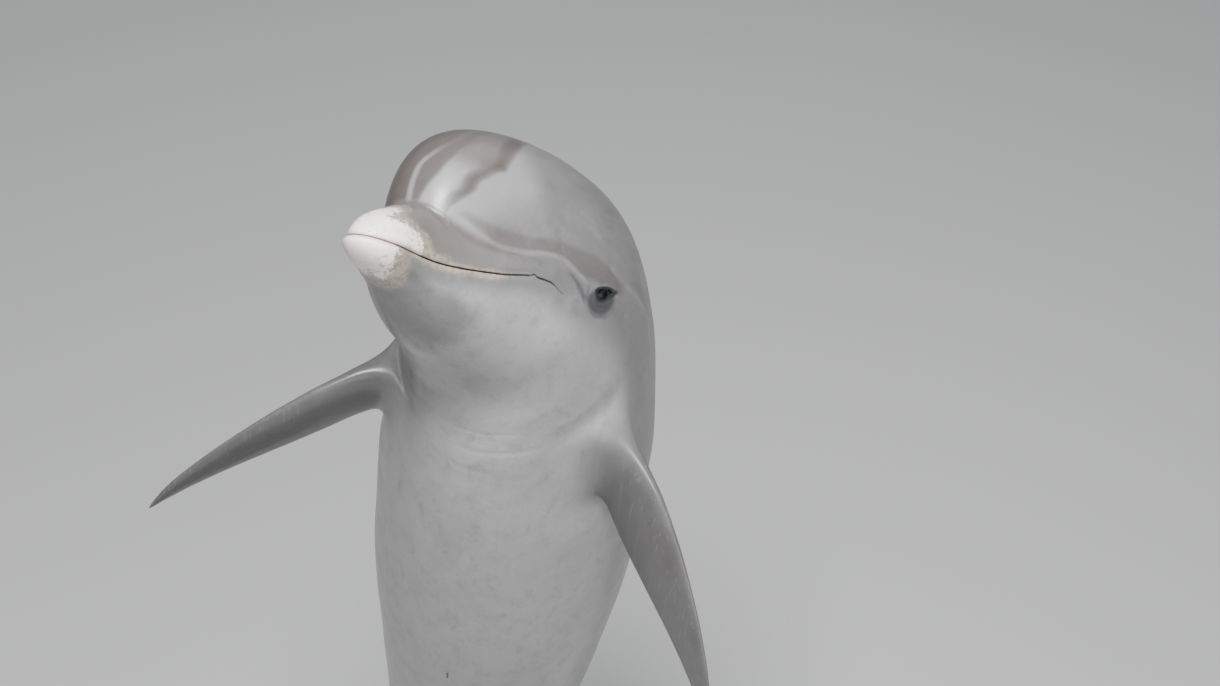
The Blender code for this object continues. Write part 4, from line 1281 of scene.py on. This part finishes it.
def lay_tip(shader, skin, colours):
    """The worn tip, its stained border, and specks in the stain; returns the tip's share."""
    ragged = (shader.noise(32.0, 3.0, 0.65, skin.body, distortion=0.8) - 0.5) * 2.1
    ragged = ragged + (skin.grain - 0.5) * 1.1
    worn = skin.before_edge + ragged + (skin.flecks - 0.5) * 1.6
    spread = skin.stain + (skin.mottle - 0.5) * 1.0 + (skin.grain - 0.5) * 0.9
    spread = (spread + (skin.flecks - 0.5) * 0.4).step(0.22, 1.05)
    shader.lay(spread * (skin.grain.step(0.30, 0.62) * 0.45 + 0.25), colours.stain)
    pale_tip = worn.step(-0.30, 0.30)
    shader.lay(pale_tip, colours.tip)
    rosy = shader.noise(14.0, 3.0, 0.6, skin.body)
    shader.lay(pale_tip * rosy.step(0.42, 0.66) * 0.40, colours.rosy)
    near_edge = 1 - skin.before_edge.size().step(0.4, 1.9)
    freckles = shader.noise(110.0, 2.0, 0.6, skin.body).step(0.56, 0.66) * near_edge * pale_tip
    shader.lay(freckles * 0.75, colours.stain)
    speckled = skin.flecks.step(0.60, 0.66) * spread.step(0.10, 0.5)
    speckled = speckled * shader.noise(60.0, 2.0, 0.5, skin.body).step(0.47, 0.58)
    shader.lay(speckled * 0.60, colours.speck)
    return pale_tip


def lay_scratches(shader, skin, colours, pale_tip):
    """Fine pale scratches in a few clusters, and small dark dots; returns the scratches' share."""
    streaks = shader.noise(1.0, 0.0, 0.5, skin.body, stretch=(4.0, 330.0, 330.0))
    slant = {"Vector": skin.body, "Axis": (0.0, 1.0, 0.0), "Angle": 0.3}
    slanted = shader.node("ShaderNodeVectorRotate", {"rotation_type": "AXIS_ANGLE"}, slant)
    crossing = shader.noise(1.0, 0.0, 0.5, slanted, stretch=(6.0, 360.0, 360.0))
    clusters = shader.noise(3.2, 2.0, 0.5, skin.body)
    scratch = streaks.step(0.66, 0.76) * clusters.step(0.50, 0.60)
    crossed = crossing.step(0.67, 0.77) * clusters.step(0.36, 0.46) * (1 - clusters.step(0.46, 0.54))
    scratch = scratch.most(crossed) * (skin.place.step(17.0, 30.0) * 0.9 + 0.1)
    shader.lay(scratch * 0.16 * (1 - pale_tip), colours.scratch)
    dots = 1 - shader.cells(34.0, skin.body).step(0.03, 0.07)
    dots = dots * shader.noise(6.0, 1.0, 0.5, skin.body).step(0.5, 0.56)
    shader.lay(dots * 0.22 * skin.place.step(17.0, 26.0), colours.speck)
    return scratch


def lay_darkest(shader, skin, colours, pale_tip):
    """Dark skin round the eyes, with painted shade, between the lips, and in the slits."""
    # The eye patch, with painted shade in its folds and painted highlights on its wrinkles' ridges.
    round_eyes_with_shade = (skin.eye_patch_and_shade + (skin.mottle - 0.5) * 0.3 * skin.eye_patch_and_shade).step(0.05, 1.0)
    shader.lay(round_eyes_with_shade * 0.92, colours.eye_patch_and_shade)
    groove = 1 - (skin.lips + (skin.grain - 0.5) * 0.6).step(0.5, 1.7)
    shadow = 1 - skin.lips.step(0.5, 6.5)
    shader.lay(shadow * pale_tip * 0.35, colours.lip_rose)
    shader.lay(groove * pale_tip * 0.85, colours.lip_rose)
    shader.lay(groove * (1 - pale_tip * 0.9), colours.inside)
    shader.lay((1 - skin.slit.step(0.6, 3.0)) * 0.9, colours.inside)
    shader.lay(skin.inside_lid * 0.9, colours.inside)
    # The lids' rims: dark skin, deepened by painted shade round the opening and behind its rear corner.
    shader.lay((skin.eye_patch_and_shade - 1).step(0.05, 0.85) * 0.92, colours.lids)


def skin_material(colours, wetness):
    """Wet dolphin skin: countershading, head markings, the worn tip, stain, scratches and fine texture."""
    shader = Shader(
        "dolphin skin", Specular_IOR_Level=0.45, Coat_Roughness=0.12, Subsurface_Weight=0.10,
        Subsurface_Scale=0.012, Subsurface_Radius=(1.0, 0.55, 0.4))
    skin = SkinFields(shader)
    lay_ground(shader, skin, colours)
    # The melon and head layers also paint shade: on the melon's far side, in its foot's fold and under the
    # jaw.
    wander, near_side_lit_share = lay_melon(shader, skin, colours)
    lay_head(shader, skin, colours, wander, near_side_lit_share)
    pale_tip = lay_tip(shader, skin, colours)
    scratch = lay_scratches(shader, skin, colours, pale_tip)
    lay_darkest(shader, skin, colours, pale_tip)
    shader.feed(Base_Color=shader.colour)

    rough = 0.50 - wetness * 0.12 + (skin.mottle - 0.5) * 0.16 + (skin.cloud - 0.5) * 0.14 + scratch * 0.10
    shader.feed(Roughness=rough.most(0.16))
    shader.feed(Coat_Weight=(skin.cloud.step(0.35, 0.70) * 0.24 + 0.05) * wetness * (1 - pale_tip * 0.4))
    normal = shader.bump(skin.fine, 0.00010, 0.5)
    normal = shader.bump(skin.grain, 0.00025, 0.5, normal)
    normal = shader.bump(skin.mottle, 0.0008, 0.5, normal)
    shader.feed(Normal=normal)
    return shader.material


def eye_material(colours):
    """The eyeball: a near-black iris with a slightly paler rim, a wide pupil, and a wet front."""
    shader = Shader(
        "eye", Roughness=0.18, Specular_IOR_Level=0.06, Coat_Weight=0.30, Coat_Roughness=0.02,
        Coat_IOR=1.36)
    out = shader.attribute("iris")
    polar = shader.attribute("polar", output="Vector")
    streaks = shader.noise(1.0, 3.0, 0.6, polar, stretch=(9.0, 0.8, 1.0))
    colour = shader.mix((out + (streaks - 0.5) * 0.25).step(0.30, 0.75), colours.iris, colours.iris_rim)
    colour = shader.mix(out.step(0.92, 1.12), colour, colours.sclera)
    veins = shader.noise(420.0, 3.0, 0.7)
    colour = shader.mix(out.step(1.0, 1.3) * veins.step(0.5, 0.7) * 0.4, colour, colours.sclera_vein)
    colour = shader.mix(shader.attribute("pupil").step(0.35, 0.65), colour, colours.pupil)
    shader.feed(Base_Color=colour)
    shader.feed(Normal=shader.bump(streaks, 0.00006, 0.6))
    return shader.material


BASE_EDGE = (0.036, 0.0398)  # heights where the base's edge ends and its top begins


def painted_material(colour, edge_colour):
    """Satin charcoal paint with a fine texture, a little dust and rubbed edges."""
    shader = Shader("painted board", Specular_IOR_Level=0.45, Coat_Roughness=0.35)
    peel = shader.noise(380.0, 2.0, 0.5)
    dust = shader.noise(6.0, 5.0, 0.62)
    scuff = shader.noise(1.0, 3.0, 0.6, stretch=(14.0, 90.0, 20.0), distortion=0.5)
    height = shader.node("ShaderNodeSeparateXYZ", {}, {0: shader.coordinates}, output="Z")
    top = height.step(*BASE_EDGE)
    base = shader.mix(dust.step(0.35, 0.75) * 0.30, colour, edge_colour)
    base = shader.mix(scuff.step(0.66, 0.74) * 0.25, base, edge_colour)
    shader.feed(Base_Color=base)
    shader.feed(Roughness=0.40 + dust.step(0.3, 0.8) * 0.18 + top * 0.04)
    shader.feed(Coat_Weight=0.15 + (1 - dust.step(0.4, 0.7)) * 0.15)
    shader.feed(Normal=shader.bump(peel, 0.00012, 0.5))
    return shader.material


def steel_material(name, colour, stretch):
    """Brushed steel; the stretch lays the brushing along or round the piece."""
    shader = Shader(name, Metallic=1.0, Coat_Roughness=0.2)
    lines = shader.noise(1.0, 3.0, 0.6, stretch=stretch)
    smear = shader.noise(18.0, 3.0, 0.5)
    darker = tuple(0.62 * value for value in colour)
    dulled = lines.step(0.35, 0.7) * 0.5 + smear.step(0.45, 0.8) * 0.2
    shader.feed(Base_Color=shader.mix(dulled, colour, darker))
    shader.feed(Roughness=0.24 + lines * 0.16 + smear.step(0.4, 0.8) * 0.12)
    shader.feed(Normal=shader.bump(lines, 0.00003, 0.6))
    return shader.material


def rubber_material(colour):
    """Soft matt rubber with a fine moulded grain."""
    shader = Shader("sleeve rubber", Specular_IOR_Level=0.35)
    grain = shader.noise(700.0, 2.0, 0.5)
    wear = shader.noise(60.0, 3.0, 0.6)
    lighter = tuple(min(1.0, 2.2 * value) for value in colour)
    shader.feed(Base_Color=shader.mix(wear.step(0.45, 0.8) * 0.5, colour, lighter))
    shader.feed(Roughness=0.55 + grain * 0.15)
    shader.feed(Normal=shader.bump(grain, 0.00006, 0.5))
    return shader.material


def floor_material(colour):
    """A plain pale studio floor with a faint cloudiness."""
    shader = Shader("studio floor", Specular_IOR_Level=0.2)
    cloud = shader.noise(0.8, 3.0, 0.5)
    darker = tuple(0.96 * value for value in colour)
    shader.feed(Base_Color=shader.mix(cloud, colour, darker))
    shader.feed(Roughness=0.7 + cloud * 0.15)
    return shader.material


# ---------------------------------------------------------------- settings


def colour_setting(name, description, default):
    return bpy.props.FloatVectorProperty(
        name=name, description=description, subtype="COLOR", size=3, min=0, max=1, default=default)


def number_setting(name, description, default, **options):
    return bpy.props.FloatProperty(name=name, description=description, default=default, **options)


def length_setting(name, description, default, **limits):
    return number_setting(name, description, default, unit="LENGTH", **limits)


class DolphinSkinSettings(bpy.types.PropertyGroup):
    side_grey: colour_setting("Sides", "Grey of the head and the sides", (0.172, 0.168, 0.171))
    back_grey: colour_setting("Back", "Darker grey of the cape along the back", (0.072, 0.071, 0.075))
    fin_grey: colour_setting("Fins", "Grey of the flippers, back fin and flukes", (0.098, 0.095, 0.097))
    belly: colour_setting("Belly", "Pale throat and belly", (0.400, 0.384, 0.386))
    # Bands also serve as painted shade on the melon's far side and in the fold at its foot.
    band: colour_setting("Bands", "Brownish bands of the melon and the eye stripe", (0.060, 0.045, 0.037))
    pale_patch: colour_setting("Pale patches", "Pale patches and lines of the head", (0.360, 0.352, 0.358))
    beak: colour_setting("Beak", "Sides of the beak above the mouth", (0.100, 0.088, 0.079))
    lip_rose: colour_setting("Tip's groove", "Groove between the lips at the worn tip", (0.36, 0.22, 0.18))
    tip: colour_setting("Worn tip", "White of the worn tip of the jaws", (0.95, 0.875, 0.845))
    rosy: colour_setting("Rosy tip", "Pink flush of the worn tip", (0.92, 0.70, 0.65))
    stain: colour_setting("Stain", "Tan stain round the tip and along the lips", (0.450, 0.360, 0.255))
    speck: colour_setting("Specks", "Small dark specks", (0.12, 0.085, 0.06))
    scratch: colour_setting("Scratches", "Fine pale scratches", (0.40, 0.39, 0.39))
    # Also laid for the line behind the mouth, and as painted shade under the jaw and in the eyes' folds.
    eye_patch_and_shade: colour_setting("Eye patch", "Dark skin round the eyes", (0.038, 0.041, 0.045))
    # The lids' rims are dark skin deepened by painted shade round the opening.
    lids: colour_setting("Lids", "Darkest skin, at the rims of the eyes", (0.012, 0.015, 0.018))
    # Also laid as painted shade along the melon's far edge.
    inside: colour_setting("Slits", "Inside of the lips and the blowhole", (0.030, 0.024, 0.022))
    wetness: number_setting("Wetness", "How wet the skin looks", 1.0, min=0, max=1)


class DolphinEyeSettings(bpy.types.PropertyGroup):
    iris: colour_setting("Iris", "Near black of the iris", (0.004, 0.0045, 0.005))
    iris_rim: colour_setting("Iris rim", "Slightly paler outer iris", (0.011, 0.011, 0.012))
    sclera: colour_setting("Around the iris", "Dark ball around the iris", (0.024, 0.022, 0.022))
    sclera_vein: colour_setting("Veins", "Veins of the ball around the iris", (0.16, 0.07, 0.06))
    pupil: colour_setting("Pupil", "Pupil", (0.002, 0.002, 0.003))
    iris_radius: length_setting("Iris radius", "Radius over the ball's curve", 0.0125, min=0.004, max=0.015)
    cornea_rise: length_setting("Cornea", "How far it bulges over the ball", 0.0006, min=0, max=0.003)


class DisplayStandSettings(bpy.types.PropertyGroup):
    paint: colour_setting("Paint", "Satin paint of the base", (0.042, 0.044, 0.050))
    paint_dust: colour_setting("Dust", "Dust and rubbed paint", (0.10, 0.10, 0.105))
    steel: colour_setting("Steel", "Brushed steel of the rods and collars", (0.58, 0.58, 0.59))
    rubber: colour_setting("Rubber", "Sleeves where the rods enter the body", (0.022, 0.022, 0.024))
    screws: bpy.props.IntProperty(
        name="Screws", description="Screws round each collar", default=4, min=0, max=12)
    screw_ring: length_setting("Screw ring", "Radius of the ring of screws", 0.0245)
    screw_radius: length_setting("Screw radius", "Radius of a screw's head", 0.0042)
    screw_height: length_setting("Screw height", "Height of a screw's head", 0.0026)
    sleeve_wall: length_setting("Sleeve wall", "Wall of the rubber sleeves", 0.0035)
    sleeve_length: length_setting("Sleeve length", "How far a sleeve reaches below the skin", 0.016)


class StudioSettings(bpy.types.PropertyGroup):
    floor: colour_setting("Floor", "Pale floor", (0.72, 0.72, 0.715))
    lens: number_setting("Lens", "Focal length in millimetres", 69.9, min=10)
    distance: length_setting("Distance", "From the tip of the beak, along the view", 3.0)
    elevation: number_setting(
        "Elevation", "How steeply the camera looks down", math.radians(45), subtype="ANGLE")
    beside: length_setting("Beside", "From the middle of the view to the beak, to the right", -0.316)
    above: length_setting("Above", "From the middle of the view to the beak, upwards", 0.137)
    key_power: number_setting("Key light", "Power of the main soft light", 185.0, unit="POWER")
    fill_power: number_setting(
        "Fill light", "Power of the soft light on the other side", 48.0, unit="POWER")


# ---------------------------------------------------------------- operators


class DOLPHIN_OT_skin(bpy.types.Operator):
    """Make the one skin of the whole dolphin, over all its flesh"""

    bl_idname = "dolphin.make_skin"
    bl_label = "Skin"

    def execute(self, context):
        settings = context.scene.dolphin_skin
        spine = posed_spine()
        skin = Skin(ring_stations(), longitude_lines())
        for fin in fins():
            skin.grow(fin, sections=24, fillet_rings=8)
        for side in SIDES.values():
            skin.lid(side, opening_rings=16)
        points, carriers, places, kinds, faces, corners = skin.finish()
        obj = new_mesh_object("skin", spine.bend(points, carriers), faces, corners)
        mesh = obj.data
        outward(mesh)
        mesh.shade_smooth()
        s, longitude = places[:, 0], places[:, 1]
        write_attribute(mesh, "body", points * UNIT)
        for name, values in markings(points, s, longitude).items():
            write_attribute(mesh, name, values)
        kind = np.stack([np.where(kinds <= 1, kinds, 0) * FIN_SHADE, kinds == 2, eye_shade(points)], -1)
        write_attribute(mesh, "kind", kind)
        mesh.materials.append(skin_material(settings, settings.wetness))
        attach(obj, BODY)
        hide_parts(*FLESH)
        return {"FINISHED"}


class DOLPHIN_OT_eyes(bpy.types.Operator):
    """Make the two eyeballs, each with its cornea, iris and pupil"""

    bl_idname = "dolphin.make_eyes"
    bl_label = "Eyes"

    def execute(self, context):
        settings = context.scene.dolphin_eye
        spine = posed_spine()
        look = eye_material(settings)
        for name, side in SIDES.items():
            self.eyeball(name, side, spine, settings, look)
        return {"FINISHED"}

    def eyeball(self, name, side, spine, settings, look):
        """One ball, with its rings closer together towards the front."""
        mirror = np.array([1.0, side, 1.0])
        rings, around = 64, 96
        polar = math.pi * np.linspace(0, 1, rings + 1)[1:-1] ** 1.35
        turn = np.arange(around) * 2 * math.pi / around
        polar, turn = np.meshgrid(polar, turn, indexing="ij")
        polar = np.concatenate([[0.0], polar.ravel(), [math.pi]])
        turn = np.concatenate([[0.0], turn.ravel(), [0.0]])
        cornea_edge = settings.iris_radius / EYE_RADIUS * 1.1
        bulge = 1 - smooth_step(polar, 0.35 * cornea_edge, 1.2 * cornea_edge)
        radius = EYE_RADIUS + settings.cornea_rise * bulge
        ahead, up = np.sin(polar) * np.cos(turn), np.sin(polar) * np.sin(turn)
        local = ahead[:, None] * EYE_AHEAD + up[:, None] * EYE_UP + np.cos(polar)[:, None] * EYE_OUT
        straight = (EYE_MIDDLE + local * radius[:, None] / UNIT) * mirror
        points = spine.bend(straight, np.full(len(straight), EYE_PLACE[0]))
        last = len(points) - 1
        faces = []
        for j in range(around):
            k = (j + 1) % around
            faces.append((0, 1 + j, 1 + k))
            faces.append((last, last - around + k, last - around + j))
            for i in range(rings - 2):
                row = 1 + i * around
                faces.append((row + j, row + around + j, row + around + k, row + k))
        obj = new_mesh_object(f"eyeball_{name}", points, faces)
        outward(obj.data)
        obj.data.shade_smooth()
        arc = polar * EYE_RADIUS
        write_attribute(obj.data, "iris", arc / settings.iris_radius)
        write_attribute(obj.data, "polar", np.stack([turn * 1.6, arc * 60, arc * 0], -1))
        wide = ahead * EYE_RADIUS / PUPIL_HALF[0]
        tall = (up * EYE_RADIUS + PUPIL_DROP) / PUPIL_HALF[1]
        lobe = np.hypot(wide, tall + 0.35 * wide**2)
        write_attribute(obj.data, "pupil", np.where(polar < 1, 1 - smooth_step(lobe, 0.85, 1.1), 0))
        obj.data.materials.append(look)
        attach(obj, BODY)
        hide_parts(f"eye_{name}")


# A screw's head from the bottom up: heights and radii as shares of its own. Then its six-sided socket: how
# far its corners reach, and the heights of its rim and its floor.
SCREW_HEAD = ((0.0, 1.0), (0.62, 1.0), (0.88, 0.90), (1.0, 0.72))
SOCKET_REACH = 0.46
SOCKET_LEVELS = (1.0, 0.35)
SCREW_SIDES = 24


def cap_screw(radius, height):
    """A round-headed screw with a six-sided socket, standing on z = 0, to be set round a collar."""
    made = bmesh.new()
    sides = SCREW_SIDES
    angles = [2 * math.pi * k / sides for k in range(sides)]
    sixth = math.pi / 3
    corners = [math.cos(sixth / 2) / math.cos(angle % sixth - sixth / 2) for angle in angles]
    outlines = [(level, share, [1.0] * sides) for level, share in SCREW_HEAD]
    outlines += [(level, SOCKET_REACH, corners) for level in SOCKET_LEVELS]
    loops = []
    for level, share, reaches in outlines:
        loop = []
        for angle, reach in zip(angles, reaches):
            out = radius * share * reach
            loop.append(made.verts.new((out * math.cos(angle), out * math.sin(angle), height * level)))
        loops.append(loop)
    for lower, upper in zip(loops, loops[1:]):
        for k in range(sides):
            made.faces.new((lower[k], lower[(k + 1) % sides], upper[(k + 1) % sides], upper[k]))
    made.faces.new(loops[-1])
    made.faces.new(loops[0][::-1])
    mesh = bpy.data.meshes.new("cap_screw")
    made.to_mesh(mesh)
    made.free()
    mesh.set_sharp_from_angle(angle=math.radians(35))
    return bpy.data.objects.new("cap_screw", mesh)


def screw_ring_tree(screw, look):
    """A node tree that sets screws round a ring: Count, Ring Radius and Place are its inputs."""
    tree = bpy.data.node_groups.new("screw ring", "GeometryNodeTree")
    face = tree.interface
    face.new_socket("Geometry", in_out="INPUT", socket_type="NodeSocketGeometry")
    count = face.new_socket("Count", in_out="INPUT", socket_type="NodeSocketInt")
    radius = face.new_socket("Ring Radius", in_out="INPUT", socket_type="NodeSocketFloat")
    place = face.new_socket("Place", in_out="INPUT", socket_type="NodeSocketVector")
    face.new_socket("Geometry", in_out="OUTPUT", socket_type="NodeSocketGeometry")
    nodes, links = tree.nodes, tree.links
    start, end = nodes.new("NodeGroupInput"), nodes.new("NodeGroupOutput")
    circle = nodes.new("GeometryNodeMeshCircle")
    links.new(start.outputs["Count"], circle.inputs["Vertices"])
    links.new(start.outputs["Ring Radius"], circle.inputs["Radius"])
    source = nodes.new("GeometryNodeObjectInfo")
    source.inputs["Object"].default_value = screw
    turn = nodes.new("FunctionNodeRandomValue")
    turn.data_type = "FLOAT_VECTOR"
    turn.inputs["Min"].default_value = (0, 0, 0)
    turn.inputs["Max"].default_value = (0, 0, math.pi)
    turn.inputs["Seed"].default_value = 7
    spread = nodes.new("GeometryNodeInstanceOnPoints")
    links.new(circle.outputs["Mesh"], spread.inputs["Points"])
    links.new(source.outputs["Geometry"], spread.inputs["Instance"])
    links.new(turn.outputs["Value"], spread.inputs["Rotation"])
    realised = nodes.new("GeometryNodeRealizeInstances")
    links.new(spread.outputs["Instances"], realised.inputs["Geometry"])
    moved = nodes.new("GeometryNodeTransform")
    links.new(realised.outputs["Geometry"], moved.inputs["Geometry"])
    links.new(start.outputs["Place"], moved.inputs["Translation"])
    finish = nodes.new("GeometryNodeSetMaterial")
    finish.inputs["Material"].default_value = look
    links.new(moved.outputs["Geometry"], finish.inputs["Geometry"])
    links.new(finish.outputs["Geometry"], end.inputs["Geometry"])
    return tree, {"count": count.identifier, "radius": radius.identifier, "place": place.identifier}


SLEEVE_LIP = 0.35  # the lip's share of a sleeve's wall
SLEEVE_INSIDE = 0.02  # how far a sleeve goes on inside the skin
OVER_THE_BASE = 0.06  # a height between the base and the body


class DOLPHIN_OT_stand(bpy.types.Operator):
    """Finish the display stand: paint, brushed steel, collar screws and rubber sleeves"""

    bl_idname = "dolphin.finish_stand"
    bl_label = "Stand"

    def execute(self, context):
        settings = context.scene.dolphin_stand
        along = steel_material("brushed rod steel", settings.steel, (420.0, 420.0, 6.0))
        turned = steel_material("turned collar steel", settings.steel, (160.0, 160.0, 900.0))
        self.paint("stand_base", painted_material(settings.paint, settings.paint_dust))
        rubber = rubber_material(settings.rubber)
        for end in ("front", "back"):
            self.paint(f"stand_rod_{end}", along)
            self.paint(f"stand_collar_{end}", turned)
            self.screws(end, settings, turned)
            self.sleeve(end, settings, rubber)
        return {"FINISHED"}

    def paint(self, node, look):
        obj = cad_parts[node]
        for slot in obj.material_slots:
            slot.material = look

    def screws(self, end, settings, look):
        middle = box_centre(f"stand_collar_{end}")
        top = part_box(f"stand_collar_{end}")[1][2]
        screw = cap_screw(settings.screw_radius, settings.screw_height)
        tree, keys = screw_ring_tree(screw, look)
        carrier = bpy.data.objects.new("carrier", bpy.data.meshes.new("carrier"))
        bpy.context.scene.collection.objects.link(carrier)
        modifier = carrier.modifiers.new("screw ring", "NODES")
        modifier.node_group = tree
        modifier[keys["count"]] = settings.screws
        modifier[keys["radius"]] = settings.screw_ring
        modifier[keys["place"]] = (middle[0], middle[1], top)
        graph = bpy.context.evaluated_depsgraph_get()
        mesh = bpy.data.meshes.new_from_object(carrier.evaluated_get(graph))
        bpy.data.objects.remove(carrier)
        bpy.data.objects.remove(screw)
        obj = bpy.data.objects.new(f"stand_screws_{end}", mesh)
        bpy.context.scene.collection.objects.link(obj)
        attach(obj, BODY)

    def sleeve(self, end, settings, look):
        """A short tapered sleeve round the rod where it enters the body's underside."""
        low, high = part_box(f"stand_rod_{end}")
        middle = (np.array(low) + np.array(high)) / 2
        inner = (high[0] - low[0]) / 2
        hit, skin_z = self.skin_above(middle)
        if not hit:
            raise RuntimeError(f"no skin above the {end} rod")
        bottom = skin_z - settings.sleeve_length
        outer = inner + settings.sleeve_wall
        lip = settings.sleeve_wall * SLEEVE_LIP
        top = skin_z + SLEEVE_INSIDE
        outline = [
            (inner, bottom), (outer - lip, bottom), (outer, bottom + lip), (outer + lip, skin_z - lip),
            (outer + 3 * lip, skin_z + lip), (outer + 3 * lip, top), (inner, top),
        ]
        around = 40
        points, faces = [], []
        for k in range(around):
            angle = 2 * math.pi * k / around
            for r, z in outline:
                points.append((middle[0] + r * math.cos(angle), middle[1] + r * math.sin(angle), z))
        size = len(outline)
        for k in range(around):
            n = (k + 1) % around
            for i in range(size):
                m = (i + 1) % size
                faces.append((k * size + i, n * size + i, n * size + m, k * size + m))
        obj = new_mesh_object(f"stand_sleeve_{end}", points, faces)
        outward(obj.data)
        obj.data.shade_smooth()
        obj.data.set_sharp_from_angle(angle=math.radians(50))
        obj.data.materials.append(look)
        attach(obj, BODY)

    def skin_above(self, middle):
        """Whether and at what height a line up the rod's axis meets the skin."""
        skin = bpy.data.objects["skin"]
        graph = bpy.context.evaluated_depsgraph_get()
        start = Vector((middle[0], middle[1], OVER_THE_BASE))
        hit, point, _, _ = skin.evaluated_get(graph).ray_cast(start, Vector((0, 0, 1)))
        return hit, point[2]


FLOOR_HALF = 14.0
DAYLIGHT = (0.93, 0.96, 1.0, 1)
DAYLIGHT_STRENGTH = 0.30
# Soft lights: name, place and target from the tip of the beak, size, the setting of their power, and the
# share of it.
SOFT_LIGHTS = (
    ("key", (0.1, -0.7, 2.2), (0.1, 0.1, -0.2), 0.8, "key_power", 1.0),
    ("fill", (1.6, -2.6, 0.4), (0.0, 0.0, -0.4), 2.4, "fill_power", 1.0),
    ("back", (1.4, 2.2, 1.4), (0.0, 0.0, 0.0), 1.6, "fill_power", 0.4),
)


class DOLPHIN_OT_studio(bpy.types.Operator):
    """Set up the pale floor, the soft lights and the camera"""

    bl_idname = "dolphin.make_studio"
    bl_label = "Studio"

    def execute(self, context):
        settings = context.scene.dolphin_studio
        self.floor(settings)
        tip = Vector(posed_spine().bend(np.array([0.0, 0.0, 0.0])))
        right = Vector((1, 0, 0))
        up = Vector((0, math.sin(settings.elevation), math.cos(settings.elevation)))
        back = right.cross(up)
        aim = tip - right * settings.beside - up * settings.above
        camera = bpy.data.cameras.new("camera")
        camera.lens = settings.lens
        camera.sensor_width = 36
        obj = bpy.data.objects.new("camera", camera)
        facing = Matrix((right, up, back)).transposed().to_4x4()
        obj.matrix_world = Matrix.Translation(aim + back * settings.distance) @ facing
        context.scene.collection.objects.link(obj)
        context.scene.camera = obj
        for name, place, target, size, power, share in SOFT_LIGHTS:
            power = getattr(settings, power) * share
            self.light(name, tip + Vector(place), tip + Vector(target), size, power)
        world = bpy.data.worlds.new("studio")
        world.use_nodes = True
        background = world.node_tree.nodes["Background"]
        background.inputs["Color"].default_value = DAYLIGHT
        background.inputs["Strength"].default_value = DAYLIGHT_STRENGTH
        context.scene.world = world
        return {"FINISHED"}

    def floor(self, settings):
        half = FLOOR_HALF
        corners = [(-half, -half, 0), (half, -half, 0), (half, half, 0), (-half, half, 0)]
        obj = new_mesh_object("floor", corners, [(0, 1, 2, 3)])
        obj.data.materials.append(floor_material(settings.floor))

    def light(self, name, place, aim, size, power):
        lamp = bpy.data.lights.new(name, "AREA")
        lamp.size = size
        lamp.energy = power
        obj = bpy.data.objects.new(name, lamp)
        obj.location = place
        obj.rotation_euler = (place - aim).to_track_quat("Z", "Y").to_euler()
        bpy.context.scene.collection.objects.link(obj)


class DOLPHIN_PT_panel(bpy.types.Panel):
    bl_idname = "DOLPHIN_PT_panel"
    bl_label = "Museum dolphin"
    bl_space_type = "VIEW_3D"
    bl_region_type = "UI"
    bl_category = "Dolphin"

    def draw(self, context):
        for operator, settings in GROUPS:
            self.layout.operator(operator)
            group = getattr(context.scene, settings)
            box = self.layout.box()
            for name in group.bl_rna.properties.keys():
                if name not in ("rna_type", "name"):
                    box.prop(group, name)


GROUPS = (
    (DOLPHIN_OT_skin.bl_idname, "dolphin_skin"),
    (DOLPHIN_OT_eyes.bl_idname, "dolphin_eye"),
    (DOLPHIN_OT_stand.bl_idname, "dolphin_stand"),
    (DOLPHIN_OT_studio.bl_idname, "dolphin_studio"),
)
SETTINGS = {
    "dolphin_skin": DolphinSkinSettings,
    "dolphin_eye": DolphinEyeSettings,
    "dolphin_stand": DisplayStandSettings,
    "dolphin_studio": StudioSettings,
}
CLASSES = (
    *SETTINGS.values(), DOLPHIN_OT_skin, DOLPHIN_OT_eyes, DOLPHIN_OT_stand, DOLPHIN_OT_studio,
    DOLPHIN_PT_panel,
)


def register():
    for made in CLASSES:
        bpy.utils.register_class(made)
    for name, group in SETTINGS.items():
        setattr(bpy.types.Scene, name, bpy.props.PointerProperty(type=group))


def unregister():
    for name in SETTINGS:
        delattr(bpy.types.Scene, name)
    for made in reversed(CLASSES):
        bpy.utils.unregister_class(made)


def main():
    register()
    bpy.ops.dolphin.make_skin()
    bpy.ops.dolphin.make_eyes()
    bpy.ops.dolphin.finish_stand()
    bpy.ops.dolphin.make_studio()


if __name__ == "__main__":
    main()
